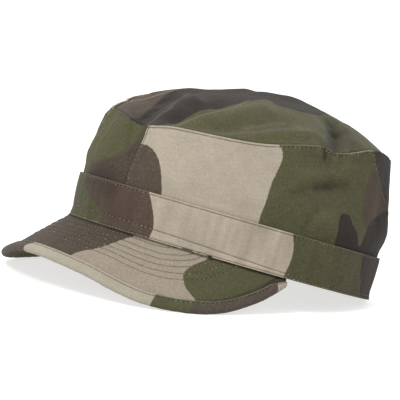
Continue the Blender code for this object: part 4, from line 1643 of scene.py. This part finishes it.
def walk(points, pitch):
    """Places and directions at equal steps along a line of points."""
    steps = np.linalg.norm(np.diff(points, axis=0), axis=1)
    run = np.concatenate([[0.0], np.cumsum(steps)])
    stations = np.arange(pitch / 2, run[-1], pitch)

    def at(distance):
        return np.stack([np.interp(distance, run, points[:, axis]) for axis in range(3)], axis=-1)

    before = at(np.maximum(stations - DIRECTION_REACH, 0.0))
    ahead = at(np.minimum(stations + DIRECTION_REACH, run[-1])) - before
    return at(stations), ahead / np.linalg.norm(ahead, axis=1, keepdims=True)


def spindle(place, way, drift):
    """The place, turn and size of one stitch, a little uneven."""
    turn = Vector(way).to_track_quat("X", "Z").to_matrix().to_4x4()
    half = STITCH_LENGTH / 2 * (1 + WOBBLE_LENGTH * drift)
    size = Matrix.Diagonal((half, THREAD_RADIUS, THREAD_RADIUS, 1.0))
    return Matrix.Translation(place) @ turn @ Matrix.Rotation(WOBBLE_TURN * drift, 4, "Z") @ size


def sew(name, lines, pitch=STITCH_PITCH):
    """One mesh of spindles along all the lines, sewn in short runs to keep each bmesh small."""
    sewn = bmesh.new()
    count = 0
    for line in lines:
        places, ways = walk(set_down(line.copy()), pitch)
        wobble = ripple(places, WOBBLE_SIZE, (3.3, 7.1, 5.2))
        for first in range(0, len(places), RUN_LENGTH):
            run = bmesh.new()
            here = slice(first, first + RUN_LENGTH)
            for stitch in zip(places[here], ways[here], wobble[here]):
                bmesh.ops.create_uvsphere(
                    run, u_segments=THREAD_SIDES, v_segments=THREAD_RINGS, radius=1.0,
                    matrix=spindle(*stitch),
                )
                count += 1
            part = bpy.data.meshes.new(name + "_run")
            run.to_mesh(part)
            run.free()
            sewn.from_mesh(part)
            bpy.data.meshes.remove(part)
    mesh = bpy.data.meshes.new(name)
    sewn.to_mesh(mesh)
    sewn.free()
    mesh.shade_smooth()
    piece = bpy.data.objects.new(name, mesh)
    bpy.context.scene.collection.objects.link(piece)
    print(f"{name}: {count} stitches")
    return piece


# %% Rows on the crown
def panel_top_row(name):
    """The line of stitches under a panel's top seam."""
    cut = laid[name]
    u = np.linspace(0.0, 1.0, 900)
    foot = BAND_HEIGHT - CROWN_TUCK
    tall = seam_height(cut["places"](u, np.ones_like(u))[0]) - foot
    return cut["surface"](u, 1.0 - STITCH_INSET / tall)


def panel_side_row(name, last):
    """The line of stitches beside a panel's first or last seam."""
    cut = laid[name]
    v = np.linspace(0.10, 0.985, 400)
    span = (cut["places"](np.ones_like(v), v)[0] - cut["places"](np.zeros_like(v), v)[0]) * RIM_HALF_WIDTH
    share = STITCH_INSET / span
    return cut["surface"](1.0 - share if last else share, v)


lapped_walls = (side_left.name, side_right.name)
crown_lines = [panel_top_row(name) for name in lapped_walls]
crown_lines += [panel_side_row(name, last) for name in lapped_walls for last in (False, True)]
crown_stitches = sew("crown_stitches", crown_lines)

# %% Rows on the band
around = np.linspace(0.0, 1.0, 4000)
around_angle = TURN * around - math.pi
band_lines = [
    band_sheet(around, np.full_like(around, 1.0 - BAND_TOP_ROW / BAND_HEIGHT)),
    band_sheet(around, middle_row(around_angle) / BAND_HEIGHT),
    band_sheet(around, np.full_like(around, BAND_FOOT_ROW / BAND_HEIGHT)),
]
band_stitches = sew("band_stitches", band_lines)

# %% Rows on the peak and the tape
HIDDEN_SHARE = 0.012


def quilt_line(middle, lean):
    """The line of one row on the peak, found from its distance to the outer edge."""
    turns = np.linspace(-0.96, 0.96, 500)
    shares = np.linspace(-0.02, 0.95, 70)
    grid_turn, grid_share = np.meshgrid(turns, shares, indexing="ij")
    distance = from_peak_rim(peak_point(grid_turn, grid_share))
    wanted = middle + lean * turns**2
    share = np.array([np.interp(-want, -row, shares, left=-1.0) for want, row in zip(wanted, distance)])
    on_peak = share > HIDDEN_SHARE
    return peak_sheet((turns[on_peak] + 1) / 2, 1 - share[on_peak])


peak_stitches = sew("peak_stitches", [quilt_line(*row) for row in PEAK_ROWS])
along_tape = np.linspace(0.005, 0.995, 3000)
tape_share = TAPE_ROW / BINDING_WIDTH * BINDING_LEG_SHARE
tape_lines = [
    tape_sheet(along_tape, np.full_like(along_tape, share)) for share in (1.0 - tape_share, tape_share)
]
tape_stitches = sew("tape_stitches", tape_lines)

# %% [markdown]
# Sewing thread is spun hard, so it is smoother than the cloth and a little glossy. It is one
# khaki throughout: dark against the tan ground, and pale on the black. Here and there a stitch
# is lightened nearly white as a painted highlight.

# %% Make the thread
def make_thread(name, colour, lightened):
    thread = Finish(name, roughness=0.62, sheen=0.1)
    place = thread.nodes.new("ShaderNodeTexCoord").outputs["Object"]
    fibre = thread.noise(place, 2600.0)
    shade = thread.sum_of("MULTIPLY_ADD", fibre, 0.6, 0.7)
    spun = thread.blend(1.0, to_linear(colour), thread.grey(shade), "MULTIPLY")
    # painted highlight: where this noise is high, a stitch is lightened towards a pale colour
    glint = thread.ranged(thread.noise(place, 300.0), 0.55, 0.63, 0.0, 0.75)
    thread.colour_and_bump(thread.blend(glint, spun, to_linear(lightened)), fibre, 0.5, 0.00005)
    return thread.material


khaki_thread = make_thread("khaki_thread", (106, 96, 78), (160, 150, 128))

# %% [markdown]
# ## Put the pieces in the model's place
#
# Each piece stands for one part of the imported model, which it hides, and rides with it.

# %% Give every piece its material and attach it
# columns: piece, node, slot, material, flat width and length, and the flat area where the cut
# isn't a rectangle
PIECES = (
    (top, "top_panel", "crown_cloth", crown_cotton, (0.160, 0.205), 0.0241),
    (front, "front_panel", "crown_cloth", crown_cotton, (0.051, 0.048), 0.00235),
    (side_left, "side_panel_left", "crown_cloth", crown_cotton, (0.222, 0.068), 0.01272),
    (side_right, "side_panel_right", "crown_cloth", crown_cotton, (0.232, 0.080), 0.01502),
    (back, "back_panel", "crown_cloth", crown_cotton, (0.152, 0.075), 0.00923),
    (band, "band", "band_cloth", band_cotton, (0.602, 0.0285), None),
    (peak, "peak", "peak_cloth", peak_cotton, (0.210, 0.085), 0.01219),
    (tape, "peak_binding", "binding_tape", tape_cotton, (0.360, 0.018), None),
)
for piece, node, slot, material, flat, area in PIECES:
    piece.data.materials.append(material)
    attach(piece, "root")
    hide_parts(node)
for piece, slot in (
    (crown_stitches, "crown_cloth"), (band_stitches, "band_cloth"), (peak_stitches, "peak_cloth"),
    (tape_stitches, "binding_tape"),
):
    piece.data.materials.append(khaki_thread)
    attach(piece, "root")
